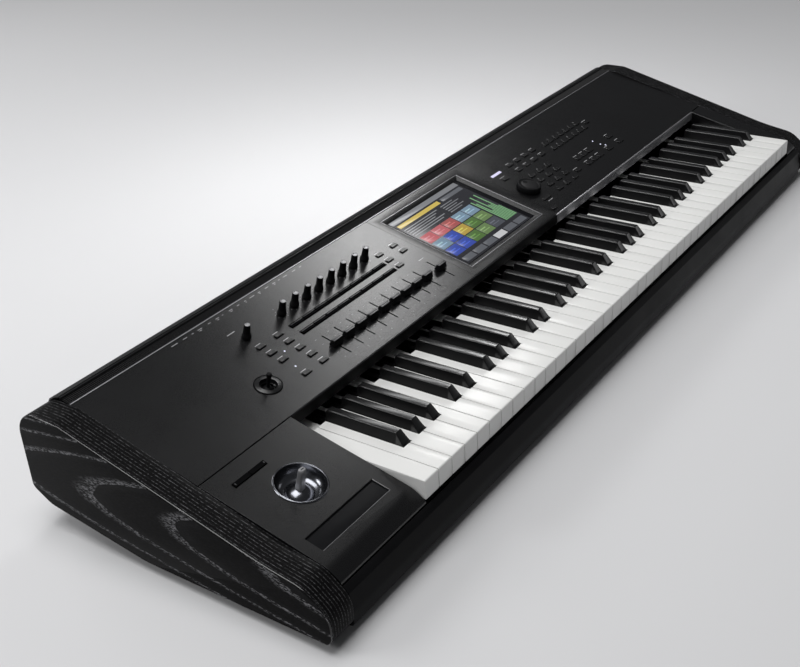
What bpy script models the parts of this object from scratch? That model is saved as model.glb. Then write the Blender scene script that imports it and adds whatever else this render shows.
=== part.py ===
"""Music workstation with seventy-three hammer-action keys, built as separate pieces.

The pieces hang under three empties. keyboard_corner stands at the front left corner of the
lowest white key's top, panel_corner lies at the front edge of the sloping panel, and each
joystick has an empty of its own at the middle of its opening. All lengths are in metres.
"""

import math

import bmesh
import bpy
from mathutils import Matrix, Vector

# Overall sizes
WIDTH = 1.245
DEPTH = 0.372
HEIGHT = 0.139
GAP = 0.0003

# Keys, measured from the front left corner of the lowest white key's top
WHITE_COUNT = 43
WHITE_PITCH = 0.0235
WHITE_WIDTH = 0.0225
WHITE_DROP = 0.0209
WHITE_NAMES = "EFGABCD"
BLACK_AFTER = {"F": -0.0034, "G": 0.0, "A": 0.0034, "C": -0.0026, "D": 0.0026}
BLACK_WIDTH = 0.0131
BLACK_TOP_WIDTH = 0.0093
BLACK_HEIGHT = 0.0121
BLACK_FRONT = 0.0498
BLACK_SETBACK = 0.0091
BLACK_REAR = 0.1448
BLACK_DEPTH = 0.016
SLOT_WIDTH = 0.0145
SLOT_FRONT = 0.0484
PIVOT_Y = 0.229
PIVOT_Z = -0.0065
PIVOT_RADIUS = 0.0065
TAIL_DEPTH = 0.013
FIXED_REACH = 0.003
BED_BOTTOM = -0.0651
BED_SHEET = 0.003
BED_FRONT_TOP = -0.038
BED_REAR_TOP = 0.002
LIVE_FIRST = 19
LIVE_COUNT = 7
KEYS_LENGTH = WHITE_COUNT * WHITE_PITCH

# Cheeks, panel and case, measured from the same corner
WOOD = 0.033
LEFT_INNER = -0.1337
RIGHT_INNER = LEFT_INNER + WIDTH - 2 * WOOD
BODY_LEFT = LEFT_INNER + GAP
BODY_RIGHT = RIGHT_INNER - GAP
FRONT_Y = -0.0120
REAR_Y = FRONT_Y + DEPTH
SLOPE = math.radians(13.4)
PANEL_Y = 0.1575
PANEL_Z = 0.0224
STRIP_FRONT = 0.1636
STRIP_REAR = 0.1793
TOP_Z = PANEL_Z + STRIP_REAR * math.sin(SLOPE)
FLOOR_Z = TOP_Z - HEIGHT
CASE_BOTTOM = -0.0674
WOOD_BOTTOM = -0.0655
WOOD_TOP = 0.0608
WOOD_FOOT_Y = 0.200
WOOD_HEEL = (0.337, -0.0440)
WOOD_HEEL_TOP = -0.0300
WOOD_CREST_Y = 0.305
WOOD_DIP = (0.060, -0.0032)
WOOD_BROW = (0.0145, -0.0110)
WOOD_NOSE_Z = -0.0330
UNDERCUT = 0.005
REAR_PANEL_Y = 0.352
SHEET = 0.0016
BLOCK_WALL = 0.003
BLOCK_FLOOR = -0.058
RAIL_TOP = -0.0243
RAIL_EDGE = -0.0308
FOOT_RADIUS = 0.0145
FOOT_INSET = 0.045
FOOT_ROWS = (0.035, 0.315)
VENT_COUNT = 10
VENT_PITCH = 0.012
VENT_FIRST = 0.700

# Sections of the panel: u runs along the keys, v up the slope, lift away from the panel
BEZEL_LEFT = 0.3524
BEZEL_RIGHT = 0.5620
PANEL_FRONT = 0.0006
SCREEN_LOW = Vector((0.366, 0.0138))
SCREEN_HIGH = Vector((0.543, 0.150))
BEZEL_CHAMFER = 0.007
BEZEL_THICK = 0.003
BEZEL_OVERCUT = 0.001
SCREEN_THICK = 0.005
SCREEN_DROP = BEZEL_THICK + GAP
BOARD_TOP = -0.0124
BOARD_THICK = 0.0016
BOARD_SEAT = 0.0005
BOARD_LOW = (0.044, 0.012)
BOARD_HIGH = (0.850, 0.128)
SPACER_PLACES = (0.049, 0.345, 0.605, 0.845)
SPACER_ROWS = (0.0154, 0.1240)
SPACER_RADIUS = 0.003
POT_HALF = 0.0048
FADER_BODY_HALF = 0.0045
FADER_BODY_MARGIN = 0.004
BODY_ROOM = 0.0004

# Controls on the panel, as u and v of their middles
CHANNEL_FIRST = 0.1260
CHANNEL_PITCH = 0.02213
CHANNELS = 8
FADER_COUNT = 9
VALUE_FADER_U = 0.333
SLOT_LOW = 0.0182
SLOT_HIGH = 0.0585
SLOT_U = 0.0020
FADER_SIZE = Vector((0.0158, 0.0084, 0.00875))
FADER_TOP_DEPTH = 0.0046
KNOB_V = 0.114
KNOB_HEIGHT = 0.018
KNOB_RADIUS = 0.0055
KNOB_STEPS = 10
VOLUME_PLACE = (0.066, 0.1135)
DIAL_PLACE = (0.587, 0.060)
DIAL_RADIUS = 0.0166
DIAL_HEIGHT = 0.0085
SHAFT_RADIUS = 0.003
SHAFT_END = -0.0055
BUTTON_LIFT = 0.0018
BUTTON_GAP = 0.0004
CAP_TAPER = 0.0008
LEFT_CAP = (0.0110, 0.0046)
RIGHT_CAP = (0.0120, 0.0050)
LARGE_CAP = (0.0140, 0.0070)
STRIP_GAP = 0.0008
STRIP_ROWS = (0.0922, 0.0768)
SHAFT_ROOM = 0.0007
VECTOR_HOLE_RADIUS = 0.0134
FRONT_FOLD = 0.009
REAR_FOLD = 0.006

# Joystick block
BLOCK_GAP = 0.0009
BLOCK_RIGHT = -BLOCK_GAP
TREBLE_LEFT = KEYS_LENGTH + BLOCK_GAP
BOWL_HOLE_RADIUS = 0.0260
STICK_PLACE = (-0.0668, -0.066)
VECTOR_PLACE = (0.0220, 0.0467)
RIBBON_LOW = Vector((-0.1195, -0.1335))
RIBBON_HIGH = Vector((-0.0170, -0.1120))
RIBBON_DROP = 0.0016
RIBBON_THICK = 0.0009
SWITCH_LOW = Vector((-0.1120, -0.0270))
SWITCH_HIGH = Vector((-0.0670, -0.0205))
SWITCH_LIFT = 0.0012
SWITCH_DEPTH = 0.005
SWITCH_TAPER = 0.0012

# Rear sockets, as places along the keys
JACK_COUNT = 12
JACK_FIRST = 0.030
JACK_PITCH = 0.022
JACK_RADIUS = 0.00335
DIN_FIRST = 0.318
DIN_PITCH = 0.026
DIN_COUNT = 3
DIN_RADIUS = 0.0073
BORE_DEPTH = 0.014
USB_PLACES = (0.398, 0.422, 0.444)
USB_HALF_WIDTHS = (0.0065, 0.0065, 0.0044)
USB_HALF_HEIGHTS = (0.0026, 0.0026, 0.0040)
SOCKET_Z = -0.012
JACK_LOW_X = 0.012
JACK_HIGH_X = 0.458
JACK_LOW_Z = -0.026
JACK_HIGH_Z = 0.002
JACK_DEPTH = 0.018
INLET_X = 0.800
INLET_Z = -0.030
INLET_HALF = Vector((0.0150, 0.0115))
WELL_HALF = Vector((0.0125, 0.0085))
ROCKER_X = 0.850
HOUSING_HALF = Vector((0.0098, 0.0125))
ROCKER_HALF = Vector((0.0065, 0.0095))
ROCKER_ROOM = Vector((0.0004, 0.0010))
ROCKER_PIN = 0.0010
ROCKER_TILT = math.radians(7)

# Power supply and main board
SUPPLY_LOW = (0.730, 0.262, BED_BOTTOM)
SUPPLY_HIGH = (0.870, 0.332, -0.012)
INLET_DEPTH = 0.016
ROCKER_DEPTH = 0.014
BOARD_CORNER_LOW = (0.120, 0.252, -0.062)
BOARD_CORNER_HIGH = (0.420, 0.330, -0.0604)
FIN_FIRST = 0.200
FIN_COUNT = 7
FIN_PITCH = 0.0096
FIN_THICK = 0.0024
CHIP_COUNT = 4
CHIP_FIRST = 0.290
CHIP_PITCH = 0.030
CHIP_SIZE = 0.018

COLOURS = {
    "black_metal": ((0.018, 0.018, 0.020), 0.42, 0.6),
    "black_plastic": ((0.014, 0.014, 0.015), 0.45, 0.0),
    "black_gloss": ((0.006, 0.006, 0.007), 0.12, 0.0),
    "white_key": ((0.86, 0.86, 0.83), 0.18, 0.0),
    "black_wood": ((0.020, 0.018, 0.017), 0.38, 0.0),
    "lip_metal": ((0.30, 0.30, 0.32), 0.32, 0.9),
    "chrome": ((0.75, 0.76, 0.78), 0.06, 1.0),
    "glass": ((0.010, 0.010, 0.012), 0.05, 0.0),
    "board_green": ((0.020, 0.120, 0.060), 0.50, 0.0),
    "zinc": ((0.48, 0.49, 0.50), 0.40, 0.9),
    "grey_pad": ((0.070, 0.072, 0.080), 0.40, 0.0),
}


def clear_scene():
    """Remove every object of the open scene."""
    for item in list(bpy.data.objects):
        bpy.data.objects.remove(item, do_unlink=True)


def collection(name):
    """Make a collection in the scene."""
    group = bpy.data.collections.new(name)
    bpy.context.scene.collection.children.link(group)
    return group


def make_material(name):
    """Make one finish from its colour, roughness and metallic value."""
    colour, roughness, metallic = COLOURS[name]
    finish = bpy.data.materials.new(name)
    finish.use_nodes = True
    shader = finish.node_tree.nodes["Principled BSDF"]
    shader.inputs["Base Color"].default_value = (*colour, 1.0)
    shader.inputs["Roughness"].default_value = roughness
    shader.inputs["Metallic"].default_value = metallic
    return finish


clear_scene()
PARTS = collection("music_workstation")
CUTTERS = collection("cutters")
MATERIALS = {name: make_material(name) for name in COLOURS}


def empty(name, place, parent=None, tilt=0.0):
    """Add an empty that other pieces hang under."""
    item = bpy.data.objects.new(name, None)
    item.location = place
    item.rotation_euler = (tilt, 0.0, 0.0)
    item.parent = parent
    PARTS.objects.link(item)
    return item


def piece(name, mesh, finish, parent, place=(0, 0, 0), smooth=False):
    """Add a sub-part with its material."""
    item = bpy.data.objects.new(name, mesh)
    item.parent = parent
    item.location = place
    PARTS.objects.link(item)
    if not mesh.materials:
        mesh.materials.append(MATERIALS[finish])
    if smooth:
        mesh.shade_smooth()
        mesh.set_sharp_from_angle(angle=math.radians(40))
    return item


def guide(name, mesh, parent, place=(0, 0, 0)):
    """Add a shape that only cuts or joins other pieces."""
    item = bpy.data.objects.new(name, mesh)
    item.parent = parent
    item.location = place
    item.hide_render = True
    item.display_type = "WIRE"
    CUTTERS.objects.link(item)
    return item


def combine(item, other, operation="DIFFERENCE"):
    """Cut or join a piece with a guide."""
    step = item.modifiers.new(operation.lower(), "BOOLEAN")
    step.operation = operation
    step.solver = "EXACT"
    step.object = other
    return item


def evaluated_mesh(item):
    """Return the mesh that an object's modifiers make, as new data."""
    bpy.context.view_layer.update()
    graph = bpy.context.evaluated_depsgraph_get()
    return bpy.data.meshes.new_from_object(item.evaluated_get(graph))


def boxes_mesh(name, boxes):
    """Make one mesh of boxes, each given by two opposite corners."""
    shape = bmesh.new()
    for low, high in boxes:
        low = Vector(low)
        high = Vector(high)
        size = Matrix.Diagonal((*(high - low), 1.0))
        bmesh.ops.create_cube(shape, size=1.0, matrix=Matrix.Translation((low + high) / 2) @ size)
    mesh = bpy.data.meshes.new(name)
    shape.to_mesh(mesh)
    shape.free()
    return mesh


def tapered_mesh(name, blocks):
    """Make one mesh of blocks: middle, base size, top size, low and high lift."""
    shape = bmesh.new()
    for middle, base, top, low, high in blocks:
        made = bmesh.ops.create_cube(shape, size=2.0)
        for vertex in made["verts"]:
            size = top if vertex.co.z > 0 else base
            lift = high if vertex.co.z > 0 else low
            across = middle[0] + vertex.co.x * size[0] / 2
            along = middle[1] + vertex.co.y * size[1] / 2
            vertex.co = (across, along, lift)
    mesh = bpy.data.meshes.new(name)
    shape.to_mesh(mesh)
    shape.free()
    return mesh


def cylinders_mesh(name, rods, sides=8):
    """Make one mesh of rods: middle, axis, two radii and length."""
    shape = bmesh.new()
    for middle, axis, radius, far_radius, length in rods:
        turn = Vector(axis).to_track_quat("Z", "Y").to_matrix().to_4x4()
        bmesh.ops.create_cone(shape, cap_ends=True, segments=sides, radius1=radius, radius2=far_radius,
                              depth=length, matrix=Matrix.Translation(middle) @ turn)
    mesh = bpy.data.meshes.new(name)
    shape.to_mesh(mesh)
    shape.free()
    return mesh


def rounded(corners, segments=4):
    """Return an outline whose corners, given as two places and a radius, are arcs."""
    points = []
    count = len(corners)
    for index, (across, up, radius) in enumerate(corners):
        corner = Vector((across, up))
        if radius == 0:
            points.append(corner)
            continue
        before = (Vector(corners[index - 1][:2]) - corner).normalized()
        after = (Vector(corners[(index + 1) % count][:2]) - corner).normalized()
        half = before.angle(after) / 2
        centre = corner + (before + after).normalized() * (radius / math.sin(half))
        start = corner + before * (radius / math.tan(half)) - centre
        swing = start.angle_signed(corner + after * (radius / math.tan(half)) - centre)
        for step in range(segments + 1):
            turn = Matrix.Rotation(-swing * step / segments, 2)
            points.append(centre + turn @ start)
    return points


def outline_mesh(name, points, low, high):
    """Extrude an outline in Y and Z along X, from a flat curve."""
    data = bpy.data.curves.new(name, "CURVE")
    data.dimensions = "2D"
    data.fill_mode = "BOTH"
    data.extrude = (high - low) / 2
    line = data.splines.new("POLY")
    line.points.add(len(points) - 1)
    for target, point in zip(line.points, points):
        target.co = (point[0], point[1], 0.0, 1.0)
    line.use_cyclic_u = True
    drawn = bpy.data.objects.new(name, data)
    CUTTERS.objects.link(drawn)
    mesh = evaluated_mesh(drawn)
    bpy.data.objects.remove(drawn)
    shape = bmesh.new()
    shape.from_mesh(mesh)
    bmesh.ops.remove_doubles(shape, verts=shape.verts, dist=0.00001)
    turn = Matrix(((0, 0, 1, 0), (1, 0, 0, 0), (0, 1, 0, 0), (0, 0, 0, 1)))
    bmesh.ops.transform(shape, matrix=Matrix.Translation(((low + high) / 2, 0, 0)) @ turn, verts=shape.verts)
    bmesh.ops.recalc_face_normals(shape, faces=shape.faces)
    shape.to_mesh(mesh)
    shape.free()
    return mesh


def sheet_piece(name, points, low, high, thick, finish, parent):
    """Fold an open sheet along X and give it a thickness on its inner side."""
    shape = bmesh.new()
    row = [shape.verts.new((low, *point)) for point in points]
    edges = [shape.edges.new(pair) for pair in zip(row, row[1:])]
    made = bmesh.ops.extrude_edge_only(shape, edges=edges)
    moved = [item for item in made["geom"] if isinstance(item, bmesh.types.BMVert)]
    bmesh.ops.translate(shape, verts=moved, vec=(high - low, 0, 0))
    mesh = bpy.data.meshes.new(name)
    shape.to_mesh(mesh)
    shape.free()
    item = piece(name, mesh, finish, parent)
    wall = item.modifiers.new("wall", "SOLIDIFY")
    wall.thickness = thick
    wall.offset = -1.0
    wall.use_even_offset = True
    return item


def turned_piece(name, profile, steps, finish, parent, place=(0, 0, 0), closed=False):
    """Turn a profile of radius and height round the Z axis."""
    mesh = bpy.data.meshes.new(name)
    edges = [(index, index + 1) for index in range(len(profile) - 1)]
    if closed:
        edges.append((len(profile) - 1, 0))
    mesh.from_pydata([(radius, 0.0, height) for radius, height in profile], edges, [])
    item = piece(name, mesh, finish, parent, place)
    turn = item.modifiers.new("turn", "SCREW")
    turn.steps = steps
    turn.render_steps = steps
    turn.use_merge_vertices = True
    turn.merge_threshold = 0.00002
    turn.use_smooth_shade = True
    return item


def white_left(index):
    """Left edge of a white key's share of the keyboard."""
    return index * WHITE_PITCH


def black_keys():
    """List each black key as the white key before it, the note's name and its middle."""
    found = []
    for index in range(WHITE_COUNT - 1):
        note = WHITE_NAMES[index % 7]
        if note in BLACK_AFTER:
            found.append((index, note + "_sharp", white_left(index + 1) + BLACK_AFTER[note]))
    return found


def live(index):
    """Tell whether a white key belongs to the octave that moves."""
    return LIVE_FIRST <= index < LIVE_FIRST + LIVE_COUNT


def tail_arc(reach, steps):
    """Round end of a key's tail, about its pivot, from top to bottom."""
    points = []
    for step in range(steps + 1):
        angle = math.radians(90 - 180 * step / steps)
        across = PIVOT_Y + reach + PIVOT_RADIUS * math.cos(angle)
        points.append((across, PIVOT_Z + PIVOT_RADIUS * math.sin(angle)))
    return points


def white_blank(name, reach, steps):
    """Side outline of a white key, extruded to its width."""
    nose = rounded([(0, -WHITE_DROP, 0), (0, 0, 0.0012), (PIVOT_Y, 0, 0)], 1)[:3]
    under = [(0.120, -TAIL_DEPTH), (0.050, -0.0165), (0.016, -0.0165), (0.012, -WHITE_DROP)]
    outline = nose + tail_arc(reach, steps) + under
    return outline_mesh(name, outline, -WHITE_WIDTH / 2, WHITE_WIDTH / 2)


def black_blank(name, reach, steps):
    """Side outline of a black key, extruded and drawn in towards its top."""
    crown = rounded([(BLACK_FRONT, -BLACK_DEPTH, 0), (BLACK_FRONT, 0, 0),
                     (BLACK_FRONT + BLACK_SETBACK, BLACK_HEIGHT, 0.003),
                     (BLACK_REAR, BLACK_HEIGHT, 0), (BLACK_REAR + 0.001, 0, 0)], 2)
    outline = crown + tail_arc(reach, steps) + [(0.120, -BLACK_DEPTH)]
    mesh = outline_mesh(name, outline, -BLACK_WIDTH / 2, BLACK_WIDTH / 2)
    for vertex in mesh.vertices:
        if vertex.co.z > 0 and vertex.co.y < BLACK_REAR + 0.002:
            share = vertex.co.z / BLACK_HEIGHT
            vertex.co.x *= 1 - share * (1 - BLACK_TOP_WIDTH / BLACK_WIDTH)
    return mesh


def repeated_mesh(name, blank, middles):
    """Copy a blank to several places along X, as one mesh."""
    shape = bmesh.new()
    for middle in middles:
        before = len(shape.verts)
        shape.from_mesh(blank)
        shape.verts.ensure_lookup_table()
        bmesh.ops.translate(shape, verts=shape.verts[before:], vec=(middle, 0, 0))
    mesh = bpy.data.meshes.new(name)
    shape.to_mesh(mesh)
    shape.free()
    return mesh


def build_keys(corner):
    """Keybed with its fixed keys, and one octave of keys that move."""
    blacks = black_keys()
    slot_boxes = []
    for index, note, middle in blacks:
        slot_boxes.append(((middle - SLOT_WIDTH / 2, SLOT_FRONT, -0.04), (middle + SLOT_WIDTH / 2, 0.26, 0.01)))
    slots = guide("black_slots", boxes_mesh("black_slots", slot_boxes), corner)

    floor = BED_BOTTOM + BED_SHEET
    wall = PIVOT_Y + PIVOT_RADIUS + GAP
    chassis = [(0.006, BED_BOTTOM), (0.246, BED_BOTTOM), (0.246, BED_REAR_TOP), (wall, BED_REAR_TOP),
               (wall, floor), (0.026, floor), (0.026, BED_FRONT_TOP), (0.006, BED_FRONT_TOP)]
    bed = piece("keybed", outline_mesh("keybed", chassis, GAP, KEYS_LENGTH - GAP), "black_plastic", corner)

    white_mesh = white_blank("white_blank_fixed", FIXED_REACH, 2)
    middles = [white_left(i) + WHITE_PITCH / 2 for i in range(WHITE_COUNT) if not live(i)]
    whites = guide("fixed_white_keys", repeated_mesh("fixed_white_keys", white_mesh, middles), corner)
    combine(whites, slots)
    whites.data.materials.append(MATERIALS["white_key"])
    black_mesh = black_blank("black_blank_fixed", FIXED_REACH, 2)
    middles = [middle for index, note, middle in blacks if not live(index)]
    fixed = guide("fixed_black_keys", repeated_mesh("fixed_black_keys", black_mesh, middles), corner)
    fixed.data.materials.append(MATERIALS["black_gloss"])
    combine(bed, whites, "UNION")
    combine(bed, fixed, "UNION")

    pivot = empty("key_pivot", (0, PIVOT_Y, PIVOT_Z), corner)
    for index in range(LIVE_FIRST, LIVE_FIRST + LIVE_COUNT):
        note = WHITE_NAMES[index % 7].lower()
        mesh = white_blank("key_" + note, 0.0, 6)
        mesh.transform(Matrix.Translation((0, -PIVOT_Y, -PIVOT_Z)))
        key = piece("key_" + note, mesh, "white_key", pivot, (white_left(index) + WHITE_PITCH / 2, 0, 0))
        combine(key, slots)
    for index, note, middle in blacks:
        if live(index):
            mesh = black_blank("key_" + note.lower(), 0.0, 6)
            mesh.transform(Matrix.Translation((0, -PIVOT_Y, -PIVOT_Z)))
            piece("key_" + note.lower(), mesh, "black_gloss", pivot, (middle, 0, 0))


def wood_outline():
    """Side outline of a wooden end, a little above the sloping panel, with a drawn-in rear foot."""
    corners = [(FRONT_Y, WOOD_BOTTOM, 0.012), (WOOD_FOOT_Y, WOOD_BOTTOM, 0.300), (*WOOD_HEEL, 0.030),
               (REAR_Y, WOOD_HEEL_TOP, 0.010), (REAR_Y, WOOD_TOP, 0.028), (WOOD_CREST_Y, WOOD_TOP, 0.040),
               (*WOOD_DIP, 0.300), (*WOOD_BROW, 0.040), (FRONT_Y, WOOD_NOSE_Z, 0.026)]
    return rounded(corners)


def build_wood(corner):
    """Wooden ends with softened rims and an undercut along the floor side."""
    for name, low, side in (("wood_end_left", LEFT_INNER - WOOD, -1), ("wood_end_right", RIGHT_INNER, 1)):
        item = piece(name, outline_mesh(name, wood_outline(), low, low + WOOD), "black_wood", corner)
        outer = low if side < 0 else low + WOOD
        half = UNDERCUT / 2
        cutter = boxes_mesh(name + "_undercut", [((-half, -0.1, -half), (half, 0.5, half))])
        edge = guide(name + "_undercut", cutter, corner, (outer, 0, WOOD_BOTTOM - 0.001))
        edge.rotation_euler = (0, math.radians(45), 0)
        combine(item, edge)


def cheek_outline():
    """Outer outline of the blocks beside the keys."""
    top = PANEL_Y - 0.0007
    slope = math.tan(SLOPE)
    return rounded([(top, PANEL_Z - 0.0002, 0), (top, BLOCK_FLOOR, 0), (0.0022, BLOCK_FLOOR, 0),
                    (0.0022, -0.0342, 0), (-0.0008, -0.0342, 0), (-0.0008, -0.0215, 0.004),
                    (0.013, PANEL_Z - (top - 0.013) * slope, 0.022)])


def cheek_hollow():
    """Inner outline of the same blocks, open below."""
    rear = PANEL_Y - 0.0035
    slope = math.tan(SLOPE)
    return [(rear, PANEL_Z - 0.0036), (rear, -0.07), (0.0050, -0.07), (0.0050, -0.0236),
            (0.014, PANEL_Z - 0.0036 - (rear - 0.014) * slope)]


def build_cheeks(corner, panel):
    """Joystick block with its openings, and the plain block at the treble end."""
    wall = BLOCK_WALL
    left = outline_mesh("joystick_block", cheek_outline(), BODY_LEFT, BLOCK_RIGHT)
    block = piece("joystick_block", left, "black_metal", corner)
    hollow = outline_mesh("block_hollow", cheek_hollow(), BODY_LEFT + wall, BLOCK_RIGHT - wall)
    combine(block, guide("block_hollow", hollow, corner))
    rod = ((*STICK_PLACE, 0), (0, 0, 1), BOWL_HOLE_RADIUS, BOWL_HOLE_RADIUS, 0.03)
    combine(block, guide("block_bowl_hole", cylinders_mesh("block_bowl_hole", [rod], 28), panel))
    low = (*SWITCH_LOW, -0.01)
    high = (*SWITCH_HIGH, 0.01)
    dish_low = (*RIBBON_LOW, -RIBBON_DROP)
    dish_high = (*RIBBON_HIGH, 0.01)
    windows = boxes_mesh("block_windows", [(low, high), (dish_low, dish_high)])
    combine(block, guide("block_windows", windows, panel))

    pad_low = (RIBBON_LOW.x + GAP * 2, RIBBON_LOW.y + GAP * 2, -RIBBON_DROP + GAP)
    pad_high = (RIBBON_HIGH.x - GAP * 2, RIBBON_HIGH.y - GAP * 2, pad_low[2] + RIBBON_THICK)
    piece("ribbon_pad", boxes_mesh("ribbon_pad", [(pad_low, pad_high)]), "grey_pad", panel)

    right = outline_mesh("treble_block", cheek_outline(), TREBLE_LEFT, BODY_RIGHT)
    treble = piece("treble_block", right, "black_metal", corner)
    hollow = outline_mesh("treble_hollow", cheek_hollow(), TREBLE_LEFT + wall, BODY_RIGHT - wall)
    combine(treble, guide("treble_hollow", hollow, corner))


def build_switches(panel):
    """Two assignable switches that dip into their slot."""
    width = (SWITCH_HIGH.x - SWITCH_LOW.x - 3 * BUTTON_GAP) / 2
    depth = SWITCH_HIGH.y - SWITCH_LOW.y - 2 * BUTTON_GAP
    middle = (SWITCH_LOW.y + SWITCH_HIGH.y) / 2
    for index, name in enumerate(("switch_1", "switch_2")):
        across = SWITCH_LOW.x + BUTTON_GAP + width / 2 + index * (width + BUTTON_GAP)
        top = (width - SWITCH_TAPER, depth - SWITCH_TAPER)
        mesh = tapered_mesh(name, [((0, 0), (width, depth), top, -SWITCH_DEPTH, SWITCH_LIFT)])
        piece(name, mesh, "black_plastic", panel, (across, middle, 0))


def bowl_curve(low_radius, high_radius, low, high, steps):
    """Points of a bowl's wall, from its floor opening up to its rim."""
    points = []
    for step in range(steps + 1):
        angle = math.radians(90) * step / steps
        radius = low_radius + (high_radius - low_radius) * math.sin(angle)
        points.append((radius, low + (high - low) * (1 - math.cos(angle))))
    return points


def ball_profile(radius, cut, steps=5):
    """Turned profile of a ball cut flat below, in the order a turned piece needs."""
    last = math.asin(cut / radius)
    points = []
    for step in range(steps + 1):
        angle = math.radians(90) + (last - math.radians(90)) * step / steps
        points.append((radius * math.cos(angle), radius * math.sin(angle)))
    points[0] = (0.0, radius)
    points.append((0.0, cut))
    return points


def joystick(name, place, panel, sizes):
    """Two-axis stick: a bowl with two legs, a gimbal ring between them and a ball with its post."""
    seat = empty(name + "_seat", (*place, 0), panel)
    pivot = empty(name + "_pivot", (0, 0, sizes["pivot"]), seat)
    ball = sizes["ball"]
    pin = sizes["pin"]
    inner = sizes["ring_inner"]
    outer = sizes["ring_outer"]
    leg = sizes["leg"]
    leg_thick = sizes["leg_thick"]
    steps = sizes["steps"]

    bowl = turned_piece(name + "_bowl", sizes["bowl_profile"], steps, sizes["bowl_finish"], seat, closed=True)
    reach = sizes["pivot"] - 2.2 * pin
    leg_boxes = []
    holes = []
    for side in (-1, 1):
        near, far = sorted((side * leg, side * (leg + leg_thick)))
        leg_boxes.append(((near, -2.1 * pin, reach), (far, 2.1 * pin, sizes["leg_top"])))
        holes.append(((side * (leg + leg_thick / 2), 0, sizes["pivot"]), (1, 0, 0), pin * 1.26, pin * 1.26,
                      leg_thick * 2))
    combine(bowl, guide(name + "_legs", boxes_mesh(name + "_legs", leg_boxes), seat), "UNION")
    combine(bowl, guide(name + "_leg_holes", cylinders_mesh(name + "_leg_holes", holes), seat))

    height = sizes["ring_height"]
    loop = [(outer, height * 0.3), (outer, -height * 0.7), (inner, -height * 0.7), (inner, height * 0.3)]
    ring = turned_piece(name + "_gimbal", loop, steps, "zinc", pivot, closed=True)
    rods = []
    for side in (-1, 1):
        near = outer - (outer - inner) * 0.5
        far = leg + leg_thick * 1.1
        rods.append(((side * (near + far) / 2, 0, 0), (1, 0, 0), pin, pin, far - near))
    combine(ring, guide(name + "_ring_pins", cylinders_mesh(name + "_ring_pins", rods), pivot), "UNION")
    bores = [((0, side * (inner + outer) / 2, 0), (0, 1, 0), pin * 1.26, pin * 1.26, (outer - inner) * 2.2)
             for side in (-1, 1)]
    combine(ring, guide(name + "_ring_bores", cylinders_mesh(name + "_ring_bores", bores), pivot))

    stick = turned_piece(name + "_stick", ball_profile(ball, -2 * pin), steps, sizes["stick_finish"], pivot)
    length = 2 * (inner + (outer - inner) * 0.75)
    trunnion = cylinders_mesh(name + "_trunnion", [((0, 0, 0), (0, 1, 0), pin, pin, length)])
    combine(stick, guide(name + "_trunnion", trunnion, pivot), "UNION")
    post = sizes["post"](name + "_post")
    combine(stick, guide(name + "_post", post, pivot), "UNION")
    return seat


def paddle_post(name):
    """Flat tapered post of the large joystick, measured from its pivot."""
    shape = bmesh.new()
    shape.from_mesh(tapered_mesh(name, [((0, 0), (0.0096, 0.0082), (0.0076, 0.0062), 0.012, 0.042)]))
    upright = [edge for edge in shape.edges if abs(edge.verts[0].co.z - edge.verts[1].co.z) > 0.01]
    upper = [edge for edge in shape.edges if min(vertex.co.z for vertex in edge.verts) > 0.03]
    bmesh.ops.bevel(shape, geom=upright + upper, offset=0.0012, segments=2, affect="EDGES", profile=0.5)
    mesh = bpy.data.meshes.new(name)
    shape.to_mesh(mesh)
    shape.free()
    return mesh


def round_post(name):
    """Slim round post of the small joystick, measured from its pivot."""
    rods = [((0, 0, 0.0156), (0, 0, 1), 0.0018, 0.0028, 0.0192)]
    return cylinders_mesh(name, rods, 12)


def build_joysticks(panel):
    """Large spring-centred joystick and the small vector joystick."""
    inner = bowl_curve(0.0146, 0.0250, -0.0130, 0.0010, 5)
    outer = bowl_curve(0.0158, 0.0256, -0.0142, GAP, 4)
    profile = [(0.0264, 0.0010), (0.0270, GAP)] + outer[::-1] + inner
    joystick("main_joystick", STICK_PLACE, panel, {
        "pivot": -0.024, "ball": 0.018, "pin": 0.0015, "ring_inner": 0.0186, "ring_outer": 0.0214,
        "ring_height": 0.005, "leg": 0.0226, "leg_thick": 0.0026, "leg_top": -0.0081, "steps": 24,
        "bowl_profile": profile, "bowl_finish": "chrome", "stick_finish": "chrome", "post": paddle_post})
    inner = bowl_curve(0.0064, 0.0092, -0.0044, 0.0010, 3)
    profile = [(0.0143, 0.0010), (0.0147, GAP), (0.0130, GAP), (0.0130, -0.0044)] + inner
    joystick("vector_joystick", VECTOR_PLACE, panel, {
        "pivot": -0.010, "ball": 0.008, "pin": 0.0009, "ring_inner": 0.0085, "ring_outer": 0.0102,
        "ring_height": 0.0024, "leg": 0.0111, "leg_thick": 0.0015, "leg_top": -0.0040, "steps": 20,
        "bowl_profile": profile, "bowl_finish": "black_metal", "stick_finish": "black_plastic", "post": round_post})


def channel(index):
    """Place of a channel's knob, buttons and fader along the panel."""
    return CHANNEL_FIRST + index * CHANNEL_PITCH


def single_buttons():
    """Middles and sizes of the separate buttons left of the screen."""
    caps = [((0.065, v), LEFT_CAP) for v in (0.0920, 0.0770, 0.0615, 0.0305)]
    caps += [((0.094, v), LEFT_CAP) for v in (0.0920, 0.0770, 0.0615, 0.0460, 0.0305)]
    caps += [((channel(CHANNELS), v), LEFT_CAP) for v in (0.1070, *STRIP_ROWS)]
    caps += [((VALUE_FADER_U, v), LEFT_CAP) for v in (0.1070, STRIP_ROWS[0])]
    return caps


def strip_buttons(count, width):
    """Middles and sizes along the two strips: one cap to a channel, or one opening for all."""
    caps = []
    for v in STRIP_ROWS:
        middles = [channel((CHANNELS / count) * (index + 0.5) - 0.5) for index in range(count)]
        caps += [((u, v), (width, LEFT_CAP[1])) for u in middles]
    return caps


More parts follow.
